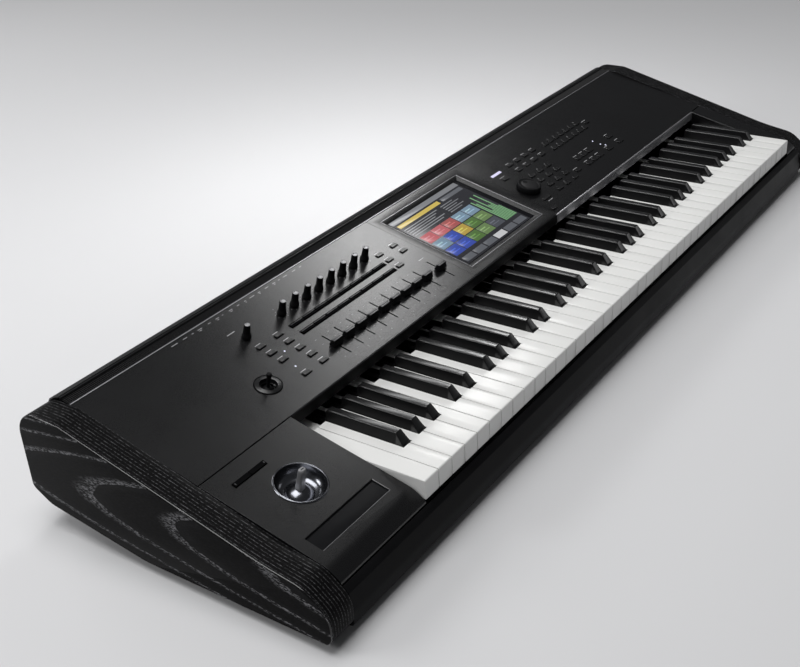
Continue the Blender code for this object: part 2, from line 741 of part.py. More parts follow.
def right_buttons():
    """Middles and sizes of the buttons right of the screen."""
    small = RIGHT_CAP
    large = LARGE_CAP
    caps = [((0.6260 + 0.0217 * column, v), small) for column in range(4) for v in (0.112, 0.096)]
    caps += [((0.587, 0.096), small), ((0.586, 0.031), (0.018, small[1])), ((0.570, 0.010), small)]
    caps += [((0.624 + 0.0225 * column, 0.030 + 0.0147 * row), small) for column in range(3) for row in range(4)]
    caps += [((0.691, 0.037), small)]
    caps += [((0.7235 + 0.01605 * column, v), small) for column in range(7) for v in (0.108, 0.0925)]
    caps += [((0.724 + 0.0170 * column, v), large) for column in range(3) for v in (0.054, 0.036)]
    caps += [((0.789, 0.036), large), ((0.823, 0.054), large), ((0.823, 0.036), large), ((0.838, 0.100), small)]
    return caps


def knob_places():
    """Places of the tapered knobs: the volume knob and one knob to a channel."""
    return [VOLUME_PLACE] + [(channel(index), KNOB_V) for index in range(CHANNELS)]


def fader_places():
    """Places of the faders along the panel: the mixer's and the value fader."""
    return [channel(index) for index in range(FADER_COUNT)] + [VALUE_FADER_U]


def button_windows(name, caps, panel):
    """Cutter for the openings that button caps rise through."""
    boxes = []
    for (u, v), (width, depth) in caps:
        half = Vector((width / 2 + BUTTON_GAP, depth / 2 + BUTTON_GAP))
        boxes.append(((u - half.x, v - half.y, -0.004), (u + half.x, v + half.y, 0.004)))
    return guide(name, boxes_mesh(name, boxes), panel)


def build_panels(panel):
    """Folded sheet panels on both sides of the screen's bezel, with their openings."""
    fold = [(PANEL_FRONT, -FRONT_FOLD), (PANEL_FRONT, 0), (STRIP_FRONT - GAP, 0), (STRIP_FRONT - GAP, -REAR_FOLD)]
    left = sheet_piece("panel_left", fold, BODY_LEFT, BEZEL_LEFT, SHEET, "black_metal", panel)
    strips = strip_buttons(1, CHANNELS * CHANNEL_PITCH - STRIP_GAP)
    combine(left, button_windows("left_button_windows", single_buttons() + strips, panel))
    room = SHAFT_RADIUS + SHAFT_ROOM
    shafts = [((*place, 0), (0, 0, 1), room, room, 0.008) for place in knob_places()]
    combine(left, guide("knob_holes", cylinders_mesh("knob_holes", shafts), panel))
    rod = ((*VECTOR_PLACE, 0), (0, 0, 1), VECTOR_HOLE_RADIUS, VECTOR_HOLE_RADIUS, 0.008)
    vector_hole = cylinders_mesh("vector_hole", [rod], 20)
    combine(left, guide("vector_hole", vector_hole, panel))
    slots = []
    for u in fader_places():
        slots.append(((u - SLOT_U / 2, SLOT_LOW, -0.004), (u + SLOT_U / 2, SLOT_HIGH, 0.004)))
    combine(left, guide("fader_slots", boxes_mesh("fader_slots", slots), panel))

    right = sheet_piece("panel_right", fold, BEZEL_RIGHT + GAP, BODY_RIGHT, SHEET, "black_metal", panel)
    combine(right, button_windows("right_button_windows", right_buttons(), panel))
    hole = cylinders_mesh("dial_hole", [((*DIAL_PLACE, 0), (0, 0, 1), room, room, 0.008)])
    combine(right, guide("dial_hole", hole, panel))


def build_display(panel):
    """Bezel with a chamfered opening, and the touch screen behind it."""
    low = (BEZEL_LEFT + GAP, PANEL_FRONT, -BEZEL_THICK)
    high = (BEZEL_RIGHT, STRIP_FRONT - GAP, 0)
    bezel = piece("display_bezel", boxes_mesh("display_bezel", [(low, high)]), "black_metal", panel)
    middle = (SCREEN_LOW + SCREEN_HIGH) / 2
    spread = SCREEN_HIGH - SCREEN_LOW
    grow = 2 * BEZEL_CHAMFER / BEZEL_THICK * BEZEL_OVERCUT
    chamfer = Vector((2 * BEZEL_CHAMFER, 2 * BEZEL_CHAMFER))
    base = spread - chamfer - Vector((grow, grow))
    top = spread + Vector((grow, grow))
    opening = tapered_mesh("bezel_opening", [(middle, base, top, -BEZEL_THICK - BEZEL_OVERCUT, BEZEL_OVERCUT)])
    combine(bezel, guide("bezel_opening", opening, panel))
    low = (SCREEN_LOW.x + 0.0025, SCREEN_LOW.y + 0.0015, -SCREEN_DROP - SCREEN_THICK)
    high = (SCREEN_HIGH.x - 0.002, SCREEN_HIGH.y - 0.0015, -SCREEN_DROP)
    piece("touch_screen", boxes_mesh("touch_screen", [(low, high)]), "glass", panel)


def build_board(panel):
    """Control board under the panel, with its button caps, pots and fader bodies."""
    bottom = BOARD_TOP - BOARD_THICK
    seat = BOARD_TOP - BOARD_SEAT
    top = SHAFT_END - BODY_ROOM
    plate = ((*BOARD_LOW, bottom), (*BOARD_HIGH, BOARD_TOP))
    board = piece("control_board", boxes_mesh("control_board", [plate]), "board_green", panel)
    blocks = []
    strips = strip_buttons(CHANNELS, CHANNEL_PITCH - STRIP_GAP)
    for middle, size in single_buttons() + strips + right_buttons():
        crown = (size[0] - CAP_TAPER, size[1] - CAP_TAPER)
        blocks.append((middle, size, crown, seat, BUTTON_LIFT))
    caps = guide("button_caps", tapered_mesh("button_caps", blocks), panel)
    caps.data.materials.append(MATERIALS["black_plastic"])
    combine(board, caps, "UNION")
    bodies = []
    for u, v in knob_places() + [DIAL_PLACE]:
        bodies.append(((u - POT_HALF, v - POT_HALF, seat), (u + POT_HALF, v + POT_HALF, top)))
    for u in fader_places():
        bodies.append(((u - FADER_BODY_HALF, SLOT_LOW - FADER_BODY_MARGIN, seat),
                       (u + FADER_BODY_HALF, SLOT_HIGH + FADER_BODY_MARGIN, top)))
    housings = guide("pot_bodies", boxes_mesh("pot_bodies", bodies), panel)
    combine(board, housings, "UNION")
    high = -SHEET - GAP
    spacers = [((u, v, (seat + high) / 2), (0, 0, 1), SPACER_RADIUS, SPACER_RADIUS, high - seat)
               for u in SPACER_PLACES for v in SPACER_ROWS]
    posts = guide("board_spacers", cylinders_mesh("board_spacers", spacers, 6), panel)
    combine(board, posts, "UNION")


def knob_mesh():
    """Tapered knob with a skirt, a shaft and a pointer notch."""
    profile = [(0, KNOB_HEIGHT), (0.0034, KNOB_HEIGHT), (0.0040, 0.0062), (0.0052, 0.0048), (KNOB_RADIUS, 0.0008),
               (SHAFT_RADIUS, 0.0008), (SHAFT_RADIUS, SHAFT_END), (0, SHAFT_END)]
    blank = turned_piece("knob_blank", profile, KNOB_STEPS, "black_plastic", None)
    notch = guide("knob_notch", boxes_mesh("knob_notch", [((-0.0004, 0.0012, 0.0172), (0.0004, 0.006, 0.02))]), None)
    combine(blank, notch)
    mesh = evaluated_mesh(blank)
    bpy.data.objects.remove(blank)
    return mesh


def build_knobs(panel):
    """Volume knob, one knob to a channel, and the value dial."""
    mesh = knob_mesh()
    names = ["volume_knob"] + [f"channel_knob_{index + 1}" for index in range(CHANNELS)]
    for name, place in zip(names, knob_places()):
        piece(name, mesh, "black_plastic", panel, (*place, 0))
    profile = [(0, DIAL_HEIGHT), (DIAL_RADIUS - 0.0018, DIAL_HEIGHT), (DIAL_RADIUS - 0.0004, DIAL_HEIGHT - 0.0012),
               (DIAL_RADIUS + 0.0004, 0.0012), (DIAL_RADIUS - 0.0002, 0.0006), (SHAFT_RADIUS, 0.0006),
               (SHAFT_RADIUS, SHAFT_END), (0, SHAFT_END)]
    dial = turned_piece("value_dial", profile, 24, "black_plastic", panel, (*DIAL_PLACE, 0))
    dimple = cylinders_mesh("dial_dimple", [((0, 0.0098, DIAL_HEIGHT), (0, 0, 1), 0.0032, 0.0046, 0.0016)], 10)
    combine(dial, guide("dial_dimple", dimple, panel, (*DIAL_PLACE, 0)))


def fader_mesh():
    """Wedge-shaped fader cap with its lever."""
    half_base = FADER_SIZE.y / 2
    half_top = FADER_TOP_DEPTH / 2
    high = FADER_SIZE.z
    outline = [(-half_base, 0.0009), (half_base, 0.0009), (half_base - 0.0006, 0.0028), (half_top, high - 0.0004),
               (half_top - 0.0006, high), (0.0004, high - 0.0003), (0, high - 0.0008), (-0.0004, high - 0.0003),
               (0.0006 - half_top, high), (-half_top, high - 0.0004), (0.0006 - half_base, 0.0028)]
    blank = piece("fader_blank", outline_mesh("fader_blank", outline, -FADER_SIZE.x / 2, FADER_SIZE.x / 2),
                  "black_plastic", None)
    lever = boxes_mesh("fader_lever", [((-0.0006, -0.0030, SHAFT_END), (0.0006, 0.0030, 0.002))])
    combine(blank, guide("fader_lever", lever, None), "UNION")
    mesh = evaluated_mesh(blank)
    bpy.data.objects.remove(blank)
    return mesh


def build_faders(panel):
    """Nine mixer faders and the value fader, at the middle of their travel."""
    mesh = fader_mesh()
    names = [f"fader_{index + 1}" for index in range(FADER_COUNT)] + ["value_fader"]
    for name, u in zip(names, fader_places()):
        piece(name, mesh, "black_plastic", panel, (u, (SLOT_LOW + SLOT_HIGH) / 2, 0))


def build_strips(corner, panel):
    """Metal lip along the keys and the ribbed strip along the rear edge."""
    lip = rounded([(0.1574, 0.0106, 0), (0.1574, 0.0228, 0), (0.1553, 0.0231, 0.0008), (0.1550, 0.0106, 0.0006)], 2)
    piece("lip_strip", outline_mesh("lip_strip", lip, 0.0004, KEYS_LENGTH + 0.0004), "lip_metal", corner)
    ribs = 5
    pitch = (STRIP_REAR - STRIP_FRONT - 0.0036) / ribs
    outline = [(STRIP_FRONT, -0.0052), (STRIP_FRONT, -0.0003), (STRIP_FRONT + 0.0010, 0.0002)]
    for index in range(ribs):
        start = STRIP_FRONT + 0.0018 + index * pitch
        outline += [(start, -0.0008), (start + pitch * 0.35, -0.0001), (start + pitch * 0.65, -0.0001)]
    outline += [(STRIP_REAR - 0.0018, -0.0008), (STRIP_REAR - 0.0010, 0.0), (STRIP_REAR, 0.0), (STRIP_REAR, -0.0052)]
    piece("rear_strip", outline_mesh("rear_strip", outline[::-1], BODY_LEFT, BODY_RIGHT), "black_plastic", panel)


def build_case(corner):
    """Floor tray with its feet and vents, front rail and rear panel."""
    inner = REAR_PANEL_Y - 0.0025
    tray = [(-0.0007, -0.036), (-0.0007, CASE_BOTTOM), (inner, CASE_BOTTOM), (inner, -0.054)]
    floor = sheet_piece("bottom_case", tray[::-1], BODY_LEFT, BODY_RIGHT, 0.002, "black_metal", corner)
    feet = []
    reach = CASE_BOTTOM + 0.001
    for x in (LEFT_INNER + FOOT_INSET, RIGHT_INNER - FOOT_INSET):
        for y in FOOT_ROWS:
            feet.append(((x, y, (FLOOR_Z + reach) / 2), (0, 0, 1), FOOT_RADIUS - 0.002, FOOT_RADIUS,
                         reach - FLOOR_Z))
    pads = guide("feet", cylinders_mesh("feet", feet, 16), corner)
    combine(floor, pads, "UNION")
    vents = []
    for index in range(VENT_COUNT):
        x = VENT_FIRST + VENT_PITCH * index
        vents.append(((x, 0.270, CASE_BOTTOM - 0.002), (x + VENT_PITCH / 3, 0.310, CASE_BOTTOM + 0.004)))
    combine(floor, guide("vents", boxes_mesh("vents", vents), corner))

    rail = rounded([(-0.0019, RAIL_TOP, 0), (-0.0019, CASE_BOTTOM, 0), (-0.0100, CASE_BOTTOM, 0.004),
                    (-0.0114, -0.050, 0.020), (-0.0081, RAIL_EDGE, 0.0010)], 3)
    piece("front_rail", outline_mesh("front_rail", rail, BODY_LEFT, BODY_RIGHT), "black_metal", corner)

    edge = Vector((PANEL_Y + (STRIP_REAR + GAP) * math.cos(SLOPE), TOP_Z - 0.0002))
    back = [tuple(edge), (0.3400, 0.0618), (0.3465, 0.0575), (0.3505, 0.0510), (REAR_PANEL_Y, 0.0440),
            (REAR_PANEL_Y, CASE_BOTTOM)]
    rear = sheet_piece("rear_panel", back[::-1], BODY_LEFT, BODY_RIGHT, SHEET, "black_metal", corner)
    windows = [((JACK_LOW_X - GAP, 0.34, JACK_LOW_Z - GAP), (JACK_HIGH_X + GAP, 0.36, JACK_HIGH_Z + GAP))]
    for x, half in ((INLET_X, INLET_HALF), (ROCKER_X, HOUSING_HALF)):
        windows.append(((x - half.x - GAP, 0.34, INLET_Z - half.y - GAP),
                        (x + half.x + GAP, 0.36, INLET_Z + half.y + GAP)))
    combine(rear, guide("rear_windows", boxes_mesh("rear_windows", windows), corner))


def build_sockets(corner):
    """Socket block for the leads, seated in the rear panel's window."""
    front = REAR_PANEL_Y - JACK_DEPTH
    body = [((JACK_LOW_X, front, JACK_LOW_Z), (JACK_HIGH_X, REAR_PANEL_Y + 0.0006, JACK_HIGH_Z))]
    block = piece("socket_block", boxes_mesh("socket_block", body), "black_plastic", corner)
    depth = BORE_DEPTH
    middle = REAR_PANEL_Y + 0.001 - depth / 2
    jacks = []
    for index in range(JACK_COUNT):
        x = JACK_FIRST + JACK_PITCH * index
        jacks.append(((x, middle, SOCKET_Z), (0, 1, 0), JACK_RADIUS, JACK_RADIUS, depth))
    combine(block, guide("jack_bores", cylinders_mesh("jack_bores", jacks), corner))
    dins = []
    for index in range(DIN_COUNT):
        x = DIN_FIRST + DIN_PITCH * index
        dins.append(((x, middle, SOCKET_Z), (0, 1, 0), DIN_RADIUS, DIN_RADIUS, depth))
    combine(block, guide("din_bores", cylinders_mesh("din_bores", dins, 14), corner))
    ports = []
    for x, half_width, half_height in zip(USB_PLACES, USB_HALF_WIDTHS, USB_HALF_HEIGHTS):
        ports.append(((x - half_width, middle - depth / 2, SOCKET_Z - half_height),
                      (x + half_width, middle + depth / 2, SOCKET_Z + half_height)))
    combine(block, guide("port_bores", boxes_mesh("port_bores", ports), corner))


def build_inside(corner):
    """Power supply with its inlet, the power switch, and the main board."""
    rear = REAR_PANEL_Y + 0.0006
    axis_y = REAR_PANEL_Y - 0.004
    supply = piece("power_supply", boxes_mesh("power_supply", [(SUPPLY_LOW, SUPPLY_HIGH)]), "zinc", corner)
    room = ROCKER_HALF + ROCKER_ROOM
    for name, x, half, well, depth in (("inlet", INLET_X, INLET_HALF, WELL_HALF, INLET_DEPTH),
                                       ("rocker", ROCKER_X, HOUSING_HALF, room, ROCKER_DEPTH)):
        body = ((x - half.x, 0.330, INLET_Z - half.y), (x + half.x, rear, INLET_Z + half.y))
        combine(supply, guide(name + "_body", boxes_mesh(name + "_body", [body]), corner), "UNION")
        hollow = ((x - well.x, rear - depth, INLET_Z - well.y), (x + well.x, rear + 0.001, INLET_Z + well.y))
        combine(supply, guide(name + "_well", boxes_mesh(name + "_well", [hollow]), corner))
    reach = ROCKER_HALF.x + 0.0022
    bore = [((ROCKER_X, axis_y, INLET_Z), (1, 0, 0), ROCKER_PIN * 1.4, ROCKER_PIN * 1.4, 2 * reach + 0.0006)]
    combine(supply, guide("rocker_bores", cylinders_mesh("rocker_bores", bore), corner))

    pivot = empty("rocker_pivot", (ROCKER_X, axis_y, INLET_Z), corner)
    half = ROCKER_HALF.y
    turn = Matrix.Rotation(ROCKER_TILT, 2)
    shape = [(-0.004, 0.006), (0.0055, half), (0.0042, 0.0), (0.0055, -half), (-0.004, -0.006)]
    outline = [tuple(turn @ Vector(point)) for point in shape]
    rocker = piece("power_rocker", outline_mesh("power_rocker", outline, -ROCKER_HALF.x, ROCKER_HALF.x),
                   "black_plastic", pivot)
    pin = [((0, 0, 0), (1, 0, 0), ROCKER_PIN, ROCKER_PIN, 2 * reach)]
    combine(rocker, guide("rocker_pins", cylinders_mesh("rocker_pins", pin), pivot), "UNION")

    board = piece("main_board", boxes_mesh("main_board", [(BOARD_CORNER_LOW, BOARD_CORNER_HIGH)]),
                  "board_green", corner)
    last = FIN_FIRST + (FIN_COUNT - 1) * FIN_PITCH + FIN_THICK
    fins = [((FIN_FIRST, 0.262, -0.061), (last, 0.322, -0.056))]
    for index in range(FIN_COUNT):
        x = FIN_FIRST + FIN_PITCH * index
        fins.append(((x, 0.262, -0.057), (x + FIN_THICK, 0.322, -0.040)))
    for index, fin in enumerate(fins):
        combine(board, guide(f"heat_sink_{index}", boxes_mesh(f"heat_sink_{index}", [fin]), corner), "UNION")
    chips = []
    for index in range(CHIP_COUNT):
        x = CHIP_FIRST + CHIP_PITCH * index
        chips.append(((x, 0.275, -0.061), (x + CHIP_SIZE, 0.305, -0.0575)))
    combine(board, guide("chips", boxes_mesh("chips", chips), corner), "UNION")
    height = -0.0612 - BED_BOTTOM
    posts = [((x, y, BED_BOTTOM + height / 2), (0, 0, 1), SPACER_RADIUS, SPACER_RADIUS, height)
             for x in (0.126, 0.414) for y in (0.258, 0.324)]
    combine(board, guide("main_spacers", cylinders_mesh("main_spacers", posts, 6), corner), "UNION")


def build():
    """Build the whole instrument."""
    left = -WIDTH / 2 - (LEFT_INNER - WOOD)
    front = -DEPTH / 2 - FRONT_Y
    corner = empty("keyboard_corner", (left, front, -FLOOR_Z))
    panel = empty("panel_corner", (0, PANEL_Y, PANEL_Z), corner, SLOPE)
    build_keys(corner)
    build_wood(corner)
    build_cheeks(corner, panel)
    build_switches(panel)
    build_joysticks(panel)
    build_panels(panel)
    build_display(panel)
    build_board(panel)
    build_knobs(panel)
    build_faders(panel)
    build_strips(corner, panel)
    build_case(corner)
    build_sockets(corner)
    build_inside(corner)


build()
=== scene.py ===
"""Music workstation: finished surfaces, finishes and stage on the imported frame.

Lengths are in metres. The keyboard's places are measured from the front left corner of the lowest
white key's top, and the panel's places as u along the keys, v up the slope and lift away from it.
"""

import math

import bmesh
import bpy
import numpy as np
from mathutils import Matrix, Vector


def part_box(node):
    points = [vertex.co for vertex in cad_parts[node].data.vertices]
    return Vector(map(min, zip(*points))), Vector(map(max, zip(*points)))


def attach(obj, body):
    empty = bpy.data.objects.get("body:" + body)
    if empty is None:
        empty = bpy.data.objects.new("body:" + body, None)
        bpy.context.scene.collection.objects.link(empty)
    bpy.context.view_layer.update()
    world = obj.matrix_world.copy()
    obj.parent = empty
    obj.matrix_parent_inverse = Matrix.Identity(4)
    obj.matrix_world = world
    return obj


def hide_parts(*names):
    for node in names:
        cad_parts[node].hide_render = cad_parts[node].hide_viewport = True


bl_info = {
    "name": "Music Workstation",
    "version": (1, 0, 0),
    "blender": (4, 5, 0),
    "location": "View3D > Sidebar > Workstation",
    "description": "Builds the surfaces, finishes and stage of a music workstation on its packed frame",
    "category": "Add Mesh",
}

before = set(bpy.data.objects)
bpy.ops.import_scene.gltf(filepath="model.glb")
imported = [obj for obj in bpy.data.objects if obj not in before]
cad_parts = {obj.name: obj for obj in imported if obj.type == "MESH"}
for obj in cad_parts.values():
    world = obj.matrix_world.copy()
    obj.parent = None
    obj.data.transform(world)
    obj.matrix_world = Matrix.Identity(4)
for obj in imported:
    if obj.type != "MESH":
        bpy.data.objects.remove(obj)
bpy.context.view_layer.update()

# Keyboard
PITCH = 0.0235
WHITE_COUNT = 43
WHITE_WIDTH = 0.0225
WHITE_DROP = 0.0209
WHITE_NAMES = "EFGABCD"
BLACK_AFTER = {"F": -0.0034, "G": 0.0, "A": 0.0034, "C": -0.0026, "D": 0.0026}
NOTCH_FRONT = 0.0484
NOTCH_WIDTH = 0.0145
BLACK_WIDTH = 0.0131
BLACK_TOP = 0.0093
BLACK_HEIGHT = 0.0121
BLACK_FRONT = 0.0498
BLACK_SETBACK = 0.0091
TOPS_REAR = 0.1440
KEY_UNDERSIDE = -0.0165
PIVOT = (0.229, -0.0065)
TAIL = 0.0065
FIXED_REACH = 0.003
LIVE_FIRST = 19
LIVE_KEYS = range(LIVE_FIRST, LIVE_FIRST + 7)
KEYS_LENGTH = WHITE_COUNT * PITCH

# Case
KEY_LOW, KEY_HIGH = (np.array(corner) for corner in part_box("key_c"))
HALF_GAP = (PITCH - WHITE_WIDTH) / 2
CORNER = np.array([KEY_LOW[0] - LIVE_FIRST * PITCH - HALF_GAP, KEY_LOW[1], KEY_HIGH[2]])
LEFT_INNER = -0.1337
RIGHT_INNER = 1.0453
WOOD = 0.033
WOOD_BOTTOM = -0.0655
OUTER_FACE = 0.6225
PITH = 0.198
BODY_LEFT = LEFT_INNER + 0.0003
BODY_RIGHT = RIGHT_INNER - 0.0003
CASE_BOTTOM = -0.0674
FEET_BOTTOM = -0.07505
REAR_Y = 0.3526

# Panel
SLOPE = math.radians(13.4)
PANEL_Y = 0.1575
PANEL_Z = 0.0224
STRIP_FRONT = 0.1636
STRIP_REAR = 0.1793
BOARD_TOP = -0.0129
CHANNEL_PITCH = 0.02213
CHANNELS = [0.1260 + CHANNEL_PITCH * column for column in range(9)]
KNOB_ROW = 0.114
FADER_ROW = 0.03835
BAR_ROWS = (0.0922, 0.0768)
VALUE_FADER = 0.333
VOLUME_PLACE = (0.066, 0.1135)
DIAL_PLACE = (0.587, 0.060)
STICK_PLACE = (-0.0668, -0.066, 0)
STICK_DROP = 0.024
VECTOR_PLACE = (0.0220, 0.0467, 0)
VECTOR_DROP = 0.010
KEYPAD_COLUMNS = [0.624 + 0.0225 * column for column in range(3)]
BANK_COLUMNS = [0.6260 + 0.0217 * column for column in range(4)]
BANK_ROWS = (0.112, 0.096)
LETTER_COLUMNS = [0.7235 + 0.01605 * column for column in range(7)]
LETTER_ROWS = (0.108, 0.0925)
PRINT = 0.00003
RIM_LOW, RIM_HIGH = -0.0002, 0.00015
CAMERA_PLACE = np.array([-0.7339, -0.5202, 0.6545])


def length_property(name, description, default, low, high):
    """Length setting, shown to a tenth of a millimetre."""
    return bpy.props.FloatProperty(name=name, description=description, default=default, min=low,
                                   max=high, precision=4, subtype="DISTANCE", unit="LENGTH")


def angle_property(name, description, degrees):
    """Angle setting, given in degrees."""
    return bpy.props.FloatProperty(name=name, description=description, default=math.radians(degrees),
                                   subtype="ANGLE", unit="ROTATION")


def power_property(name, description, default):
    """Power of a lamp in watts."""
    return bpy.props.FloatProperty(name=name, description=description, default=default, min=0.0,
                                   max=500.0, unit="POWER")


def colour_property(name, description, default):
    """Colour setting."""
    return bpy.props.FloatVectorProperty(name=name, description=description, default=default, size=3,
                                         min=0.0, max=1.0, subtype="COLOR")


class WorkstationSizes(bpy.types.PropertyGroup):
    """Sizes that give the pieces their edges and relief."""

    wood_edge: length_property(
        "Wood edge", "Radius along the outer rim of the wooden ends", 0.0016, 0.0005, 0.006)
    wood_undercut: length_property(
        "Wood undercut", "Width of the slanted band under the wooden ends", 0.0025, 0.001, 0.015)
    key_edge: length_property(
        "White key edge", "Softness of the white keys' rims", 0.0006, 0.0002, 0.0015)
    black_edge: length_property(
        "Black key edge", "Radius along the top of the black keys", 0.0012, 0.0002, 0.002)
    knob_height: length_property(
        "Knob height", "Height of a tapered knob above the panel", 0.018, 0.010, 0.020)
    knob_flutes: bpy.props.IntProperty(
        name="Knob flutes", description="Number of grip flutes round a knob", default=12, min=6, max=24)
    fader_length: length_property(
        "Fader cap length", "Length of a fader cap along the keys", 0.0156, 0.008, 0.018)
    dial_radius: length_property("Dial radius", "Radius of the value dial", 0.0166, 0.012, 0.018)
    dial_ribs: bpy.props.IntProperty(
        name="Dial ribs", description="Number of fine ribs round the value dial", default=60, min=24,
        max=90)
    button_lift: length_property(
        "Button height", "Height of the button caps above the panel", 0.0016, 0.0008, 0.0035)
    strip_pitch: length_property(
        "Strip rib pitch", "Distance between the cross ribs of the rear strip", 0.0022, 0.0015, 0.008)
    ring_spacing: length_property(
        "Growth ring spacing", "Distance between growth rings in the ash", 0.0036, 0.002, 0.012)


class WorkstationColours(bpy.types.PropertyGroup):
    """Colours of the finishes."""

    panel: colour_property("Panel", "Satin coat of the steel panels", (0.0036, 0.0036, 0.0040))
    plastic: colour_property("Plastic", "Moulded black plastic", (0.0045, 0.0045, 0.0050))
    white_key: colour_property("White keys", "Gloss white of the keys", (0.79, 0.79, 0.775))
    black_key: colour_property("Black keys", "Satin black of the keys", (0.0038, 0.0038, 0.0042))
    ash: colour_property("Stained ash", "Black stain of the wooden ends", (0.0036, 0.0035, 0.0037))
    pores: colour_property("Ash pores", "Silvery pores and soft rings of the ash", (0.21, 0.21, 0.22))
    lip: colour_property("Lip", "Grey metal lip along the keys", (0.42, 0.42, 0.44))
    chrome: colour_property("Chrome", "Polished bowl and ball", (0.20, 0.205, 0.225))
    cap: colour_property("Light caps", "Light grey tops of the knobs and the stick", (0.30, 0.30, 0.31))
    slate: colour_property("Slate caps", "Dark grey tops of bars and faders", (0.030, 0.030, 0.033))
    button: colour_property("Buttons", "Black button caps", (0.0040, 0.0040, 0.0046))
    marks: colour_property("Marks", "Printed marks on the panel", (0.36, 0.36, 0.37))
    board: colour_property("Circuit board", "Solder mask of the boards", (0.015, 0.085, 0.045))
    zinc: colour_property("Zinc", "Plated steel inside the case", (0.48, 0.49, 0.50))


class WorkstationStage(bpy.types.PropertyGroup):
    """Settings of the camera, the floor and the lamps."""

    lens: bpy.props.FloatProperty(
        name="Lens", description="Focal length on a 36 mm wide picture", default=53.568, min=20.0,
        max=200.0, subtype="DISTANCE_CAMERA")
    azimuth: angle_property("Azimuth", "Turn of the camera round the instrument", -53.79)
    elevation: angle_property("Elevation", "Downward look of the camera", 28.88)
    roll: angle_property("Roll", "Tilt of the picture", 3.83)
    floor: colour_property("Floor", "Pale floor", (0.69, 0.69, 0.70))
    glow_power: power_property("Panel soft box", "Soft box whose glow lies on the panel", 1.80)
    slope_power: power_property("Slope soft box", "Soft box that carries the glow to the left", 0.30)
    gloss_power: power_property("Key soft box", "Soft box that the black keys' tops show", 1.05)
    rear_power: power_property("Rear soft box", "Large soft box behind the workstation", 15.0)
    upper_power: power_property("Upper soft box", "Large soft box overhead", 92.0)
    front_power: power_property("Front soft box", "Soft box that the black keys' slopes show", 2.5)
    rim_power: power_property("Rim soft box", "Soft box behind the left end", 12.0)
    sky: bpy.props.FloatProperty(
        name="Room light", description="Strength of the even light of the room", default=0.07, min=0.0,
        max=2.0)


class Value:
    """A number that varies over a surface. Arithmetic on it adds Math nodes."""

    def __init__(self, paint, socket):
        self.paint = paint
        self.socket = socket

    def maths(self, operation, *others):
        """Add one Math node that works on this value and on others."""
        return self.paint.add("ShaderNodeMath", {"operation": operation}, dict(enumerate((self, *others))))

    def __add__(self, other):
        return self.maths("ADD", other)

    def __sub__(self, other):
        return self.maths("SUBTRACT", other)

    def __rsub__(self, other):
        return self.paint.add("ShaderNodeMath", {"operation": "SUBTRACT"}, {0: other, 1: self})

    def __mul__(self, other):
        return self.maths("MULTIPLY", other)

    def __truediv__(self, other):
        return self.maths("DIVIDE", other)

    __radd__ = __add__
    __rmul__ = __mul__

    def step(self, low, high):
        """Smooth step from 0 at low to 1 at high."""
        return self.paint.add("ShaderNodeMapRange", {"interpolation_type": "SMOOTHSTEP"},
                              {0: self, 1: low, 2: high})


def lighter(colour, factor):
    """A colour made lighter or darker by a factor."""
    return tuple(min(1.0, part * factor) for part in colour)


